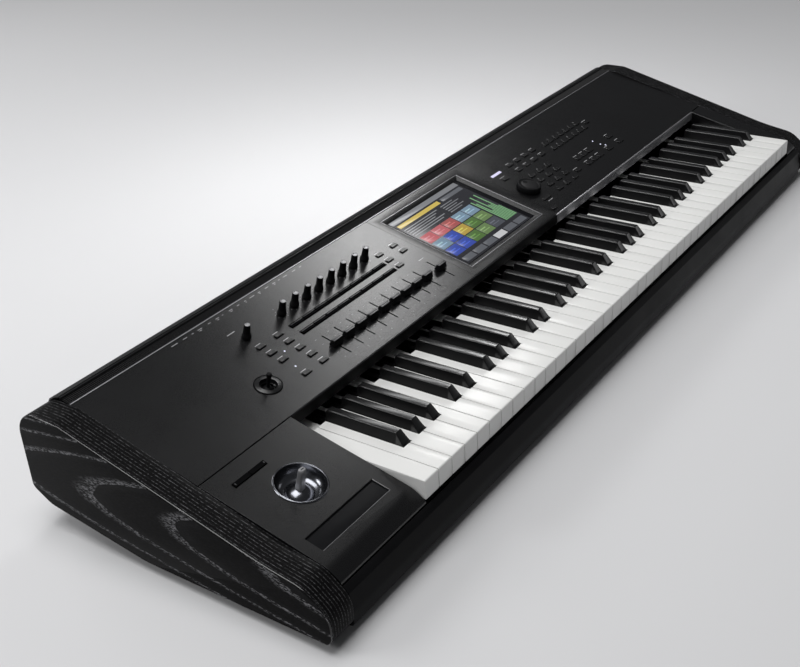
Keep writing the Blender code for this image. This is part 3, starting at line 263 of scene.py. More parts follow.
class Paint:
    """A material under construction, with one Principled shader over object coordinates."""

    def __init__(self, name):
        self.material = bpy.data.materials.new(name)
        self.material.use_nodes = True
        self.tree = self.material.node_tree
        self.shader = self.tree.nodes["Principled BSDF"]
        self.where = self.add("ShaderNodeTexCoord", output=3)

    def feed(self, socket, value):
        """Give a socket a link or a constant."""
        if isinstance(value, Value):
            self.tree.links.new(value.socket, socket)
        elif isinstance(value, (tuple, list)) and socket.type == "RGBA":
            socket.default_value = (*value[:3], 1.0)
        else:
            socket.default_value = value

    def add(self, kind, settings=None, inputs=None, output=0):
        """Add a node: its settings first, then the values or links of its sockets."""
        node = self.tree.nodes.new(kind)
        for key, value in (settings or {}).items():
            setattr(node, key, value)
        for key, value in (inputs or {}).items():
            self.feed(node.inputs[key], value)
        return Value(self, node.outputs[output])

    def scaled(self, scales, turn=(0.0, 0.0, 0.0)):
        """Object coordinates, turned and then scaled by axis."""
        turned_place = self.add("ShaderNodeMapping", {}, {0: self.where, 2: turn})
        return self.add("ShaderNodeVectorMath", {"operation": "MULTIPLY"}, {0: turned_place, 1: scales})

    def parts(self, vector=None):
        """The three numbers of a vector."""
        split = self.add("ShaderNodeSeparateXYZ", {}, {0: vector or self.where})
        return [Value(self, socket) for socket in split.socket.node.outputs]

    def noise(self, scale, detail=2.0, roughness=0.5, vector=None):
        """Noise between 0 and 1."""
        return self.add("ShaderNodeTexNoise", {}, {"Vector": vector or self.where, "Scale": scale,
                                                   "Detail": detail, "Roughness": roughness})

    def streaks(self, scales, detail=2.0, roughness=0.5):
        """Noise with a scale of its own along each axis."""
        return self.noise(1.0, detail, roughness, self.scaled(scales))

    def cells(self, scale, feature="F1", vector=None):
        """Distance to the nearest cell point."""
        return self.add("ShaderNodeTexVoronoi", {"feature": feature},
                        {"Vector": vector or self.where, "Scale": scale})

    def weave(self, scale, vector=None):
        """Sine of scale x along X times the same along Y."""
        across, along = self.parts(vector)[:2]
        return (across * scale).maths("SINE") * (along * scale).maths("SINE")

    def blend(self, share, low, high):
        """Mix two colours."""
        return self.add("ShaderNodeMix", {"data_type": "RGBA"}, {0: share, 6: low, 7: high}, output=2)

    def relief(self, height, depth, strength=1.0):
        """Bump from a height, as deep as given."""
        bump = self.add("ShaderNodeBump", {}, {"Height": height, "Distance": depth, "Strength": strength})
        self.feed(self.shader.inputs["Normal"], bump)

    def finish(self, **inputs):
        """Set the shader's sockets, with spaces written as underscores, and return the material."""
        for key, value in inputs.items():
            self.feed(self.shader.inputs[key.replace("_", " ")], value)
        return self.material

    def coat(self, share, low, high, **inputs):
        """Finish with a base colour between two colours."""
        return self.finish(Base_Color=self.blend(share, low, high), **inputs)

    def coat_as(self, name, share, low, high, **inputs):
        """Finish with a colour of the settings, made darker or lighter by two factors."""
        colour = getattr(bpy.context.scene.workstation_colours, name)
        return self.coat(share, lighter(colour, low), lighter(colour, high), **inputs)


def paint_panel(paint):
    """Satin coat on steel: fine grains that change its gloss, with a sparkle and faint clouds."""
    grain, cloud = paint.noise(1900.0, 3.0, 0.6), paint.noise(14.0)
    sparkle = paint.cells(1500.0).step(0.22, 0.05)
    paint.relief(grain, 0.00005)
    return paint.coat_as("panel", sparkle * 0.55 + cloud * 0.2, 1.0, 2.6,
                         Roughness=0.23 + 0.06 * grain + 0.04 * cloud, Specular_IOR_Level=0.55)


def paint_plastic(paint):
    """Moulded plastic with an eroded grain."""
    cloud = paint.noise(30.0)
    paint.relief(paint.cells(1500.0, "SMOOTH_F1"), 0.00006)
    return paint.coat_as("plastic", cloud, 0.8, 1.4, Roughness=0.40 + 0.12 * cloud, Specular_IOR_Level=0.08)


def paint_gap(paint):
    """Deep matt black of the matt caps, also used as painted shade in gaps, a groove and a recess, with a
    barely lighter dust.
    """
    dust = paint.noise(700.0, 3.0)
    paint.relief(dust, 0.00004)
    # Matt caps have this black as their own colour; on the sheets in gaps it is painted shade.
    return paint.coat_as("plastic", dust, 0.35, 0.75, Roughness=0.62 + 0.20 * dust, Specular_IOR_Level=0.02)


def paint_white_key(paint):
    """Gloss white key plastic, a touch darker in soft clouds."""
    cloud = paint.noise(22.0)
    paint.relief(paint.noise(420.0), 0.00002, 0.5)
    return paint.coat_as("white_key", cloud, 1.0, 0.95, Roughness=0.16 + 0.06 * cloud,
                         Specular_IOR_Level=0.16)


def paint_black_key(paint):
    """Satin black key plastic with faint lines along the keys.

    A coat polishes the tops, which lie 86 mm above the floor, and the front slopes before y = -115 mm.
    """
    along, up = paint.parts()[1:]
    lines, cloud = paint.streaks((1600.0, 40.0, 900.0)), paint.noise(40.0)
    paint.relief(lines, 0.000004, 0.4)
    polish = up.step(0.0857, 0.0866).maths("MAXIMUM", 1.0 - along.step(-0.1160, -0.1150))
    return paint.coat_as("black_key", lines, 0.8, 1.5, Roughness=0.30 + 0.08 * cloud + 0.05 * lines,
                         Coat_Weight=polish, Coat_Roughness=0.20, Specular_IOR_Level=0.16)


def paint_ash(paint):
    """Black-stained, flat-sawn ash: growth rings about a pith far inside, with bands of open pores.

    On the outer face the ring number is (rise^2 / (2 PITH) + 0.032 x (along - middle)) / spacing, which
    draws nested arches that open to the front; behind the rim it is the depth / spacing, which draws
    lines along the top. Pores fill the first quarter of each ring and thin out towards the next.
    """
    colours = bpy.context.scene.workstation_colours
    spacing = bpy.context.scene.workstation_sizes.ring_spacing
    across, along, up = paint.parts()
    slow = paint.streaks((5.0, 5.0, 14.0)) - 0.5
    ripple = paint.streaks((50.0, 30.0, 110.0), 3.0) - 0.5
    depth = OUTER_FACE - across.maths("ABSOLUTE")
    face = 1.0 - depth.step(0.0006, 0.0026)
    rise = up - 0.072
    arch = rise * rise / (2 * PITH) + (along - 0.0926) * 0.032
    ring = (arch * face - depth) / spacing + slow * (0.08 + 0.40 * face) + ripple * 0.12
    ring = ring.maths("FRACT")
    band = ring.step(0.0, 0.02) * (1.0 - ring.step(0.07, 0.26))
    threads = paint.streaks((1300.0, 240.0, 900.0), 2.0, 0.6)
    pores = threads.step(0.47, 0.58)
    fleck = paint.streaks((300.0, 40.0, 300.0), 3.0)
    late = ring.step(0.75, 0.95) * 0.04
    silver = band * (0.06 + 0.94 * pores) * (0.30 + fleck) * (0.60 + 0.40 * face)
    silver = silver + pores * fleck * 0.030 + late * fleck
    paint.relief(silver * -1.0 + threads * 0.2, 0.00020)
    rim = depth.step(0.0001, 0.0003) * (1.0 - depth.step(0.0012, 0.0018))
    return paint.coat(silver, tuple(colours.ash), tuple(colours.pores), Coat_Weight=rim, Coat_Roughness=0.08,
                      Roughness=0.36 - 0.06 * silver + 0.08 * fleck, Specular_IOR_Level=0.04)


def paint_lip(paint):
    """Brushed grey metal, with fine scratches along the keys."""
    brushed = paint.streaks((14.0, 2600.0, 2600.0), 3.0, 0.7)
    paint.relief(brushed, 0.00001, 0.5)
    return paint.coat_as("lip", brushed, 0.94, 1.06, Metallic=0.85,
                         Roughness=0.40 + 0.03 * brushed + 0.02 * paint.noise(12.0))


def paint_chrome(paint):
    """Polished chrome with faint turning marks and haze."""
    haze = paint.noise(90.0, 3.0)
    paint.relief(paint.streaks((300.0, 300.0, 5200.0)), 0.000008, 0.5)
    return paint.coat_as("chrome", haze, 1.0, 0.88, Roughness=0.17 + 0.08 * haze, Metallic=1.0)


def paint_cap(paint):
    """Light grey satin caps with a metallic flake."""
    flake, cloud = paint.cells(2600.0), paint.noise(160.0)
    paint.relief(flake, 0.00002, 0.6)
    return paint.coat_as("cap", flake * 0.6 + cloud * 0.4, 0.78, 1.25, Roughness=0.30 + 0.15 * cloud,
                         Metallic=0.55)


def paint_slate(paint):
    """Dark grey satin plastic of the bars and fader tops."""
    flake, cloud = paint.cells(2200.0), paint.noise(160.0)
    paint.relief(flake, 0.00002, 0.6)
    return paint.coat_as("slate", flake * 0.5 + cloud * 0.4, 0.75, 1.3, Roughness=0.30 + 0.14 * cloud,
                         Specular_IOR_Level=0.55)


def paint_button(paint):
    """Dark rubbery button caps with a soft sheen."""
    grain = paint.noise(2200.0)
    paint.relief(grain, 0.00003, 0.6)
    return paint.coat_as("button", paint.noise(120.0), 0.75, 1.35, Roughness=0.28 + 0.12 * grain,
                         Specular_IOR_Level=0.48)


def paint_rubber(paint):
    """Matt black rubber of pads and seals."""
    grain = paint.noise(900.0, 3.0)
    paint.relief(grain, 0.00010)
    return paint.coat(grain, (0.010, 0.010, 0.010), (0.026, 0.026, 0.027), Roughness=0.72 + 0.15 * grain)


def paint_marks(paint):
    """Screen-printed ink, slightly uneven."""
    cover = paint.noise(1400.0, 3.0)
    return paint.coat_as("marks", cover.step(0.25, 0.55), 0.72, 1.0, Roughness=0.25 + 0.08 * cover,
                         Specular_IOR_Level=0.55)


def paint_board(paint):
    """Circuit board: solder mask with traces that show through it."""
    flat = paint.scaled((180.0, 180.0, 180.0), (-SLOPE, 0.0, 0.0))
    traces = paint.cells(1.0, "DISTANCE_TO_EDGE", flat).step(0.10, 0.05)
    cloud = paint.noise(60.0)
    paint.relief(traces, 0.00004)
    return paint.coat_as("board", traces * 0.7 + cloud * 0.2, 1.0, 2.2, Roughness=0.30 + 0.15 * cloud)


def paint_zinc(paint):
    """Zinc-plated steel with spangles."""
    spangle, fine = paint.cells(130.0), paint.noise(700.0, 3.0)
    paint.relief(fine, 0.00004, 0.6)
    return paint.coat_as("zinc", spangle * 0.6 + fine * 0.3, 0.75, 1.15, Roughness=0.32 + 0.22 * spangle,
                         Metallic=0.9)


def paint_pad(paint):
    """Ribbon controller film: dark grey, with a faint cross weave."""
    cloud = paint.noise(70.0)
    paint.relief(paint.weave(5200.0), 0.00003)
    return paint.coat(cloud, (0.0040, 0.0042, 0.0050), (0.0062, 0.0064, 0.0074),
                      Roughness=0.34 + 0.10 * cloud, Specular_IOR_Level=0.06)


def paint_glass(paint):
    """Dark front glass of the screen."""
    haze = paint.noise(18.0, 3.0)
    return paint.coat(haze, (0.004, 0.004, 0.005), (0.008, 0.008, 0.010), Roughness=0.14 + 0.06 * haze,
                      Specular_IOR_Level=0.14)


def paint_picture(paint):
    """Lit picture: each field's tint, with a fine dot raster, glows under the glass."""
    tint = paint.add("ShaderNodeAttribute", {"attribute_name": "tint"})
    flat = paint.scaled((1.0, 1.0, 1.0), (-SLOPE, 0.0, 0.0))
    raster = paint.weave(9000.0, flat) * 0.5 + 0.5
    return paint.finish(Base_Color=(0.01, 0.01, 0.012), Emission_Strength=0.66,
                        Emission_Color=paint.blend(raster * 0.16, tint, (0.0, 0.0, 0.0)),
                        Roughness=0.16 + 0.06 * paint.noise(40.0, vector=flat), Specular_IOR_Level=0.14)


def paint_lamp(paint):
    """Small lit lamp with a brighter middle."""
    glow = paint.blend(paint.noise(900.0, 1.0), (0.62, 0.66, 1.0), (0.92, 0.92, 1.0))
    return paint.finish(Base_Color=(0.5, 0.5, 0.6), Emission_Color=glow, Emission_Strength=1.1,
                        Roughness=0.3)


def paint_violet(paint):
    """Lilac light plate behind a frosted window."""
    glow = paint.blend(paint.noise(260.0), (0.42, 0.38, 0.70), (0.80, 0.78, 0.95))
    return paint.finish(Base_Color=(0.45, 0.43, 0.55), Emission_Color=glow, Emission_Strength=0.5,
                        Roughness=0.35)


FINISHES = {
    "panel_coat": (paint_panel, "black_metal"),
    "moulded_black": (paint_plastic, "black_plastic"),
    "key_white": (paint_white_key, "white_key"),
    "key_black": (paint_black_key, "black_gloss"),
    "black_ash": (paint_ash, "black_wood"),
    "brushed_grey": (paint_lip, "lip_metal"),
    "polished_chrome": (paint_chrome, "chrome"),
    "grey_cap": (paint_cap, "lip_metal"),
    "slate_cap": (paint_slate, "black_plastic"),
    "button_rubber": (paint_button, "black_plastic"),
    "gap_black": (paint_gap, "black_plastic"),
    "matt_rubber": (paint_rubber, "black_plastic"),
    "printed_marks": (paint_marks, "grey_pad"),
    "circuit_board": (paint_board, "board_green"),
    "plated_steel": (paint_zinc, "zinc"),
    "ribbon_film": (paint_pad, "grey_pad"),
    "dark_glass": (paint_glass, "glass"),
    "lit_picture": (paint_picture, "glass"),
    "lamp_white": (paint_lamp, "glass"),
    "lamp_lilac": (paint_violet, "glass"),
}
NODE_FINISH = {
    "black_metal": "panel_coat", "black_plastic": "moulded_black", "black_gloss": "key_black",
    "white_key": "key_white", "black_wood": "black_ash", "lip_metal": "brushed_grey",
    "chrome": "polished_chrome", "glass": "dark_glass", "board_green": "circuit_board",
    "zinc": "plated_steel", "grey_pad": "ribbon_film",
}


def finish(name):
    """The material of a finish, painted when it is first asked for."""
    return bpy.data.materials.get(name) or FINISHES[name][0](Paint(name))


def on_keys(points):
    """Places measured from the keyboard's corner, in the model's frame."""
    return np.asarray(points, float) + CORNER


def on_panel(points):
    """Places on the panel in the model's frame: u stays, (v, lift) turn by the slope about X."""
    u, v, lift = np.moveaxis(np.asarray(points, float), -1, 0)
    tilted = np.stack([u, PANEL_Y + v * math.cos(SLOPE) - lift * math.sin(SLOPE),
                       PANEL_Z + v * math.sin(SLOPE) + lift * math.cos(SLOPE)], axis=-1)
    return tilted + CORNER


def outward(places, quads, ends):
    """Turn a closed skin's faces outwards.

    Its volume is the sum of a . (b x c) / 6 over a fan of triangles a, b, c; the faces are turned
    round where that is negative.
    """
    middle = places - places.mean(axis=0)
    fans = [quads[:, [0, 1, 2]], quads[:, [0, 2, 3]]]
    fans += [np.stack([np.full(len(end) - 2, end[0]), end[1:-1], end[2:]], axis=1) for end in ends]
    a, b, c = middle[np.concatenate(fans)].swapaxes(0, 1)
    if np.einsum("ij,ij->i", a, np.cross(b, c)).sum() < 0:
        quads = quads[:, ::-1]
        ends = [end[::-1] for end in ends]
    return places, quads, ends


def skin(rings, closed=False):
    """Closed skin over a stack of closed rings, an array of rings x points x 3.

    Point j of ring i joins point j + 1 of the same ring and both points of ring i + 1, with j taken
    round the ring. The first and last ring are filled, or joined where the stack is closed.
    """
    count, size = rings.shape[:2]
    index = np.arange(count * size).reshape(count, size)
    beside = np.roll(index, -1, axis=1)
    quads = np.stack([index, beside, np.roll(beside, -1, axis=0), np.roll(index, -1, axis=0)], axis=-1)
    ends = []
    if not closed:
        quads, ends = quads[:-1], [index[0][::-1], index[-1]]
    return outward(rings.reshape(-1, 3), quads.reshape(-1, 4), ends)


def copied(quads, ends, count, size):
    """Faces of a number of like skins whose places follow one another, size places to a skin."""
    start = np.arange(count) * size
    many = (quads[None] + start[:, None, None]).reshape(-1, 4)
    return many, [row for end in ends for row in (end[None] + start[:, None])]


def repeated(shell, offsets):
    """Copies of a skin: copy k is the skin moved by offset k, whose height may be left out."""
    places, quads, ends = shell
    offsets = np.asarray(offsets, float)
    offsets = np.pad(offsets, ((0, 0), (0, 3 - offsets.shape[1])))[:, None]
    return ((places + offsets).reshape(-1, 3), *copied(quads, ends, len(offsets), len(places)))


def coated(look, *shells):
    """Skins that share one finish."""
    return [(shell, look) for shell in shells]


def ring_of(width, depth, radius, steps):
    """Rounded rectangle: corner centres plus radius x (cos t, sin t), t a quarter turn to a corner."""
    radius = min(radius, width / 2 - 1e-6, depth / 2 - 1e-6)
    quarter = np.linspace(0, math.pi / 2, steps)
    angles = (np.arange(4)[:, None] * math.pi / 2 + quarter).ravel()
    signs = np.repeat(np.array([(1, 1), (-1, 1), (-1, -1), (1, -1)]), steps, axis=0)
    centres = signs * np.array([width / 2 - radius, depth / 2 - radius])
    return centres + radius * np.stack([np.cos(angles), np.sin(angles)], axis=1)


def block(width, depth, low, high, radius, soft=0.0004, dish=0.0):
    """Block with a softened top: rings of rounded rectangles that draw in by soft x (1 - cos t) while
    they rise by soft x sin t, with a middle dished by dish."""
    turn, steps = np.linspace(0, math.pi / 2, 4), 3
    heights = np.concatenate([[low], high - soft + soft * np.sin(turn)])
    insets = np.concatenate([[0.0], soft * (1 - np.cos(turn))])
    rings = [np.column_stack([ring_of(width - 2 * i, depth - 2 * i, max(radius - i, 0.00008), steps),
                              np.full(4 * steps, h)]) for h, i in zip(heights, insets)]
    if dish:
        top = rings[-1]
        rings += [top * (share, share, 1.0) - (0, 0, dish * drop)
                  for share, drop in ((0.8, 0.45), (0.5, 0.85), (0.15, 1.0))]
    return skin(np.array(rings))


def slab(low, high, soft=0.0003):
    """Box between two corners, with softened upper rims."""
    low, high = np.asarray(low, float), np.asarray(high, float)
    size, middle = high - low, (high + low) / 2
    return repeated(block(size[0], size[1], low[2], high[2], soft * 1.5, soft), [middle[:2]])


def sheets(rectangles, low, high, soft=0.0001):
    """Slabs over rectangles (u, v, far u, far v), from one height to another."""
    return [slab((u, v, low), (far_u, far_v, high), soft) for u, v, far_u, far_v in rectangles]


def rounded_outline(corners, steps):
    """Closed outline whose corners are arcs, from corners (x, y, radius).

    At a corner c with unit directions a and b to its neighbours and half angle h between them, the
    arc's centre is c + (a + b) / |a + b| x r / sin h, and it runs from c + a x r / tan h.
    """
    corners = np.asarray(corners, float)
    spot, radius = corners[:, :2], corners[:, 2:3]
    before = np.roll(spot, 1, axis=0) - spot
    after = np.roll(spot, -1, axis=0) - spot
    before /= np.linalg.norm(before, axis=1, keepdims=True)
    after /= np.linalg.norm(after, axis=1, keepdims=True)
    half = np.arccos(np.clip((before * after).sum(axis=1, keepdims=True), -1, 1)) / 2
    inward = before + after
    inward /= np.linalg.norm(inward, axis=1, keepdims=True)
    centre = spot + inward * radius / np.sin(half)
    start = spot + before * radius / np.tan(half) - centre
    way = np.sign(before[:, 0] * after[:, 1] - before[:, 1] * after[:, 0])[:, None]
    swing = -way * (math.pi - 2 * half) * np.linspace(0, 1, steps + 1)
    cos, sin = np.cos(swing), np.sin(swing)
    across = start[:, :1] * cos - start[:, 1:] * sin
    up = start[:, :1] * sin + start[:, 1:] * cos
    return np.stack([centre[:, :1] + across, centre[:, 1:] + up], axis=-1).reshape(-1, 2)


def drawn_in(outline, inset):
    """Outline moved inwards by the inset along the mitre (n1 + n2) / (1 + n1 . n2) of its normals."""
    after = np.roll(outline, -1, axis=0)
    edge = after - outline
    area = (outline[:, 0] * after[:, 1] - after[:, 0] * outline[:, 1]).sum()
    normal = np.stack([edge[:, 1], -edge[:, 0]], axis=1) * np.sign(area)
    normal /= np.linalg.norm(normal, axis=1, keepdims=True)
    previous = np.roll(normal, 1, axis=0)
    mitre = (normal + previous) / (1 + (normal * previous).sum(axis=1, keepdims=True))
    return outline - mitre * inset


def bar(outline, low, high, soft=0.0003):
    """Outline in Y and Z carried along X, drawn in by soft at both ends."""
    stations = ((low, soft), (low + soft * 0.3, soft * 0.3), (low + soft, 0.0),
                (high - soft, 0.0), (high - soft * 0.3, soft * 0.3), (high, soft))
    return skin(np.array([np.column_stack([np.full(len(outline), x), drawn_in(outline, inset)])
                          for x, inset in stations]))


def about_z(radius, t, height):
    """Points (r cos t, r sin t, height), with the radius by ring and angle."""
    return np.stack([radius * np.cos(t), radius * np.sin(t), height + 0 * radius], axis=-1)


def turned(profile, steps, closed=False):
    """Surface of revolution for a profile of radius and height."""
    profile = np.asarray(profile, float)
    t = np.linspace(0, 2 * math.pi, steps, endpoint=False)
    return skin(about_z(profile[:, :1] + 0 * t, t, profile[:, 1:2]), closed)


def lying(shell):
    """A skin built about Z, laid down so that its Z runs to the rear."""
    places, quads, ends = shell
    return outward(places[:, (0, 2, 1)], quads, ends)


def linked(name, data):
    """New object of the scene that holds the data."""
    item = bpy.data.objects.new(name, data)
    bpy.context.scene.collection.objects.link(item)
    return item


def refine(mesh, distance, dissolve):
    """Merge a mesh's points that lie closer than a distance, then run a dissolving step on it."""
    shape = bmesh.new()
    shape.from_mesh(mesh)
    bmesh.ops.remove_doubles(shape, verts=shape.verts, dist=distance)
    dissolve(shape)
    shape.to_mesh(mesh)
    shape.free()


def shown(name, mesh, looks, sharp):
    """Object of a mesh with its finishes and with edges that stay sharp above an angle in degrees."""
    for look in looks:
        mesh.materials.append(finish(look))
    mesh.shade_smooth()
    mesh.set_sharp_from_angle(angle=math.radians(sharp))
    return linked(name, mesh)


def make(name, parts, body, replaced=(), sharp=32.0, tints=None, place=on_panel, at=(0, 0, 0)):
    """Make a piece from skins and the finish of each, and let it ride on its body.

    The skins are moved by at and put in place by a function. Points that coincide are merged, so that
    a skin that touches itself stays closed.
    """
    places, faces, slots, shades, start = [], [], [], [], 0
    names = list(dict.fromkeys(look for shell, look in parts))
    for number, ((spots, quads, ends), look) in enumerate(parts):
        places.append(place(spots + at))
        rows = (quads + start).tolist() + [(end + start).tolist() for end in ends]
        faces += rows
        slots += [names.index(look)] * len(rows)
        if tints:
            shades.append(np.tile((*tints[number], 1.0), (len(spots), 1)))
        start += len(spots)
    mesh = bpy.data.meshes.new(name)
    mesh.from_pydata(np.concatenate(places).tolist(), [], faces)
    mesh.polygons.foreach_set("material_index", slots)
    if tints:
        tint = mesh.attributes.new("tint", "FLOAT_COLOR", "POINT")
        tint.data.foreach_set("color", np.concatenate(shades).ravel())
    refine(mesh, 1e-7, lambda shape: bmesh.ops.dissolve_degenerate(shape, dist=1e-8, edges=shape.edges))
    piece = shown(name, mesh, names, sharp)
    if replaced:
        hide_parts(*replaced)
    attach(piece, body)


def carried(name, node, look, edge):
    """Smooth copy of a CAD node, with its loose triangles merged and its rims softened."""
    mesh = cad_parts[node].data.copy()
    mesh.name = name
    refine(mesh, 1e-6, lambda shape: bmesh.ops.dissolve_limit(
        shape, angle_limit=math.radians(0.5), verts=shape.verts, edges=shape.edges))
    mesh.materials.clear()
    piece = shown(name, mesh, [look], 25.0)
    soften = piece.modifiers.new("soft rims", "BEVEL")
    soften.width = edge
    soften.segments = 2
    soften.limit_method = "ANGLE"
    soften.angle_limit = math.radians(40)
    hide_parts(node)
    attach(piece, "case")


def lettering(text, size, u, v):
    """Raised print of a few generic characters, centred at a place of the panel."""
    curve = bpy.data.curves.new("print", "FONT")
    curve.body = text
    curve.size = size
    curve.align_x = "CENTER"
    curve.align_y = "CENTER"
    curve.extrude = PRINT
    curve.resolution_u = 2
    drawn = linked("print", curve)
    bpy.context.view_layer.update()
    mesh = bpy.data.meshes.new_from_object(drawn.evaluated_get(bpy.context.evaluated_depsgraph_get()))
    places = np.empty(len(mesh.vertices) * 3)
    mesh.vertices.foreach_get("co", places)
    faces = [np.array(face.vertices) for face in mesh.polygons]
    bpy.data.objects.remove(drawn)
    bpy.data.meshes.remove(mesh)
    return places.reshape(-1, 3) + (u, v, PRINT), np.empty((0, 4), int), faces


def black_keys():
    """Index of the white key before each black key, its note's name and its middle."""
    return [(index, note.lower() + "_sharp", (index + 1) * PITCH + BLACK_AFTER[note])
            for index, note in enumerate((WHITE_NAMES * 7)[:WHITE_COUNT - 1]) if note in BLACK_AFTER]


def white_side(reach):
    """Side outline of a white key from its front foot over the top to the tail and back below.

    The nose is an arc of 1.6 mm, the top steps down in front of the lip and the tail is a half turn
    of TAIL about the pivot.
    """
    nose = np.linspace(0, math.pi / 2, 5)
    nose = np.stack([0.0016 * (1 - np.cos(nose)), 0.0016 * (np.sin(nose) - 1)], axis=1)
    half = np.linspace(math.pi / 2, -math.pi / 2, 7)
    tail = np.stack([PIVOT[0] + reach + TAIL * np.cos(half), PIVOT[1] + TAIL * np.sin(half)], axis=1)
    step = [(TOPS_REAR, 0.0), (TOPS_REAR + 0.0006, -0.0080)]
    under = [(0.120, -0.013), (0.050, KEY_UNDERSIDE), (0.016, KEY_UNDERSIDE), (0.012, -WHITE_DROP)]
    return np.concatenate([[(0.0, -WHITE_DROP)], nose, step, tail, under])


def white_keys(indices, reach, edge):
    """White keys as one skin: the side outline at ten stations across each key.

    At a station beside a black key the outline is cut off at the notch, y = min(y, notch). At the
    outer two stations of each flank the top is lowered and the nose set back by the edge and 0.3 of it.
    """
    side = white_side(reach)
    cuts = {index: middle for index, note, middle in black_keys()}
    left = np.array(indices) * PITCH + HALF_GAP
    right = left + WHITE_WIDTH
    low = np.array([cuts.get(i - 1, -math.inf) + NOTCH_WIDTH / 2 - x for i, x in zip(indices, left)])
    high = np.array([x - cuts.get(i, math.inf) + NOTCH_WIDTH / 2 for i, x in zip(indices, right)])
    near = np.where(low > 0, low, 0.0012)
    far = np.where(high > 0, high, 0.0012)
    shift = np.array([0.0, 0.3 * edge, edge])
    stations = np.concatenate([left[:, None] + shift, (left + near)[:, None].repeat(2, 1),
                               (right - far)[:, None].repeat(2, 1), right[:, None] - shift[::-1]], axis=1)
    inset = np.array([edge, 0.3 * edge, 0, 0, 0, 0, 0, 0, 0.3 * edge, edge])
    cut = np.zeros((*stations.shape, 1), bool)
    cut[:, :4] = (low > 0)[:, None, None]
    cut[:, 6:] = (high > 0)[:, None, None]
    along = np.maximum(side[:, 0], inset[:, None])[None]
    up = np.minimum(side[:, 1], -inset[:, None])[None]
    along = np.where(cut, np.minimum(along, NOTCH_FRONT), along)
    up = np.where(cut & (side[:, 0] > NOTCH_FRONT), np.maximum(up, KEY_UNDERSIDE), up)
    rings = np.stack([stations[:, :, None] + 0 * along, along, up], axis=-1)
    places, quads, ends = skin(rings[0])
    return (rings.reshape(-1, 3), *copied(quads, ends, len(rings), len(places)))


def black_key(reach, edge):
    """One black key about its middle: rings across the key at stations along it.

    The top follows the smooth minimum -k log(exp(-s / k) + exp(-h / k)) of the front slope s and the
    height h, drops below the white keys behind the rear end and closes round the pivot; a ring narrows
    with its height.
    """
    ramp = BLACK_FRONT + BLACK_SETBACK * np.array([0.0, 0.15, 0.5, 0.8, 0.9, 0.97, 1.03, 1.1, 1.2, 1.4])
    flat = np.array([0.075, 0.1434, 0.1443, 0.1448, 0.1458])
    half = np.linspace(0, math.pi / 2, 5)
    along = np.concatenate([ramp, flat, PIVOT[0] + reach + TAIL * np.sin(half)])
    slope = BLACK_HEIGHT * (along - BLACK_FRONT) / BLACK_SETBACK
    soft = 0.00035
    top = -soft * np.log(np.exp(-np.minimum(slope, 0.05) / soft) + np.exp(-BLACK_HEIGHT / soft))
    top = np.where(along > TOPS_REAR, BLACK_HEIGHT - (along - TOPS_REAR) * 2.2, top)
    top = np.maximum(top, 0.0)
    top[along > 0.1450] = -0.0070
    top[-5:] = PIVOT[1] + TAIL * np.cos(half)
    under = np.full(len(along), -0.016)
    under[-6] = -0.0142
    under[-5:] = PIVOT[1] - TAIL * np.cos(half)
    rise = np.maximum(top, 0.0)
    wide = BLACK_WIDTH / 2 - (BLACK_WIDTH - BLACK_TOP) / 2 * rise / BLACK_HEIGHT
    radius = np.minimum(edge, 0.45 * rise)[:, None]
    turn = np.linspace(0, math.pi / 2, 5)
    foot = np.full((len(along), 1), BLACK_WIDTH / 2)
    right_x = np.concatenate([foot, foot, wide[:, None] - radius * (1 - np.cos(turn))], axis=1)
    right_z = np.concatenate([under[:, None], np.minimum(top, 0.0)[:, None],
                              top[:, None] - radius * (1 - np.sin(turn))], axis=1)
    across = np.concatenate([right_x, -right_x[:, ::-1]], axis=1)
    up = np.concatenate([right_z, right_z[:, ::-1]], axis=1)
    return skin(np.stack([across, along[:, None] + 0 * across, up], axis=-1))


def build_keyboard():
    """Keybed with its fixed keys, and the octave of keys that moves."""
    sizes = bpy.context.scene.workstation_sizes
    whites = [index for index in range(WHITE_COUNT) if index not in LIVE_KEYS]
    fixed = [(middle, 0) for index, note, middle in black_keys() if index not in LIVE_KEYS]
    wall = PIVOT[0] + TAIL + 0.0003
    chassis = rounded_outline([(y, z, 0.0006) for y, z in (
        (0.006, -0.0651), (0.246, -0.0651), (0.246, 0.002), (wall, 0.002), (wall, -0.0621),
        (0.026, -0.0621), (0.026, -0.038), (0.006, -0.038))], 2)
    felt = slab((0.001, 0.008, -0.038), (KEYS_LENGTH - 0.001, 0.024, -0.0366), 0.0004)
    make("keybed_keys", [(bar(chassis, 0.0003, KEYS_LENGTH - 0.0003), "moulded_black"),
                         (white_keys(whites, FIXED_REACH, sizes.key_edge), "key_white"),
                         (repeated(black_key(FIXED_REACH, sizes.black_edge), fixed), "key_black"),
                         (felt, "matt_rubber")], "case", ["keybed"], 40, place=on_keys)
    for index in LIVE_KEYS:
        node = "key_" + WHITE_NAMES[index % 7].lower()
        make(node + "_top", [(white_keys([index], 0.0, sizes.key_edge), "key_white")], node, [node], 40,
             place=on_keys)
    for index, note, middle in black_keys():
        if index in LIVE_KEYS:
            node = "key_" + note
            make(node + "_top", [(black_key(0.0, sizes.black_edge), "key_black")], node, [node], 40,
                 place=on_keys, at=(middle, 0, 0))


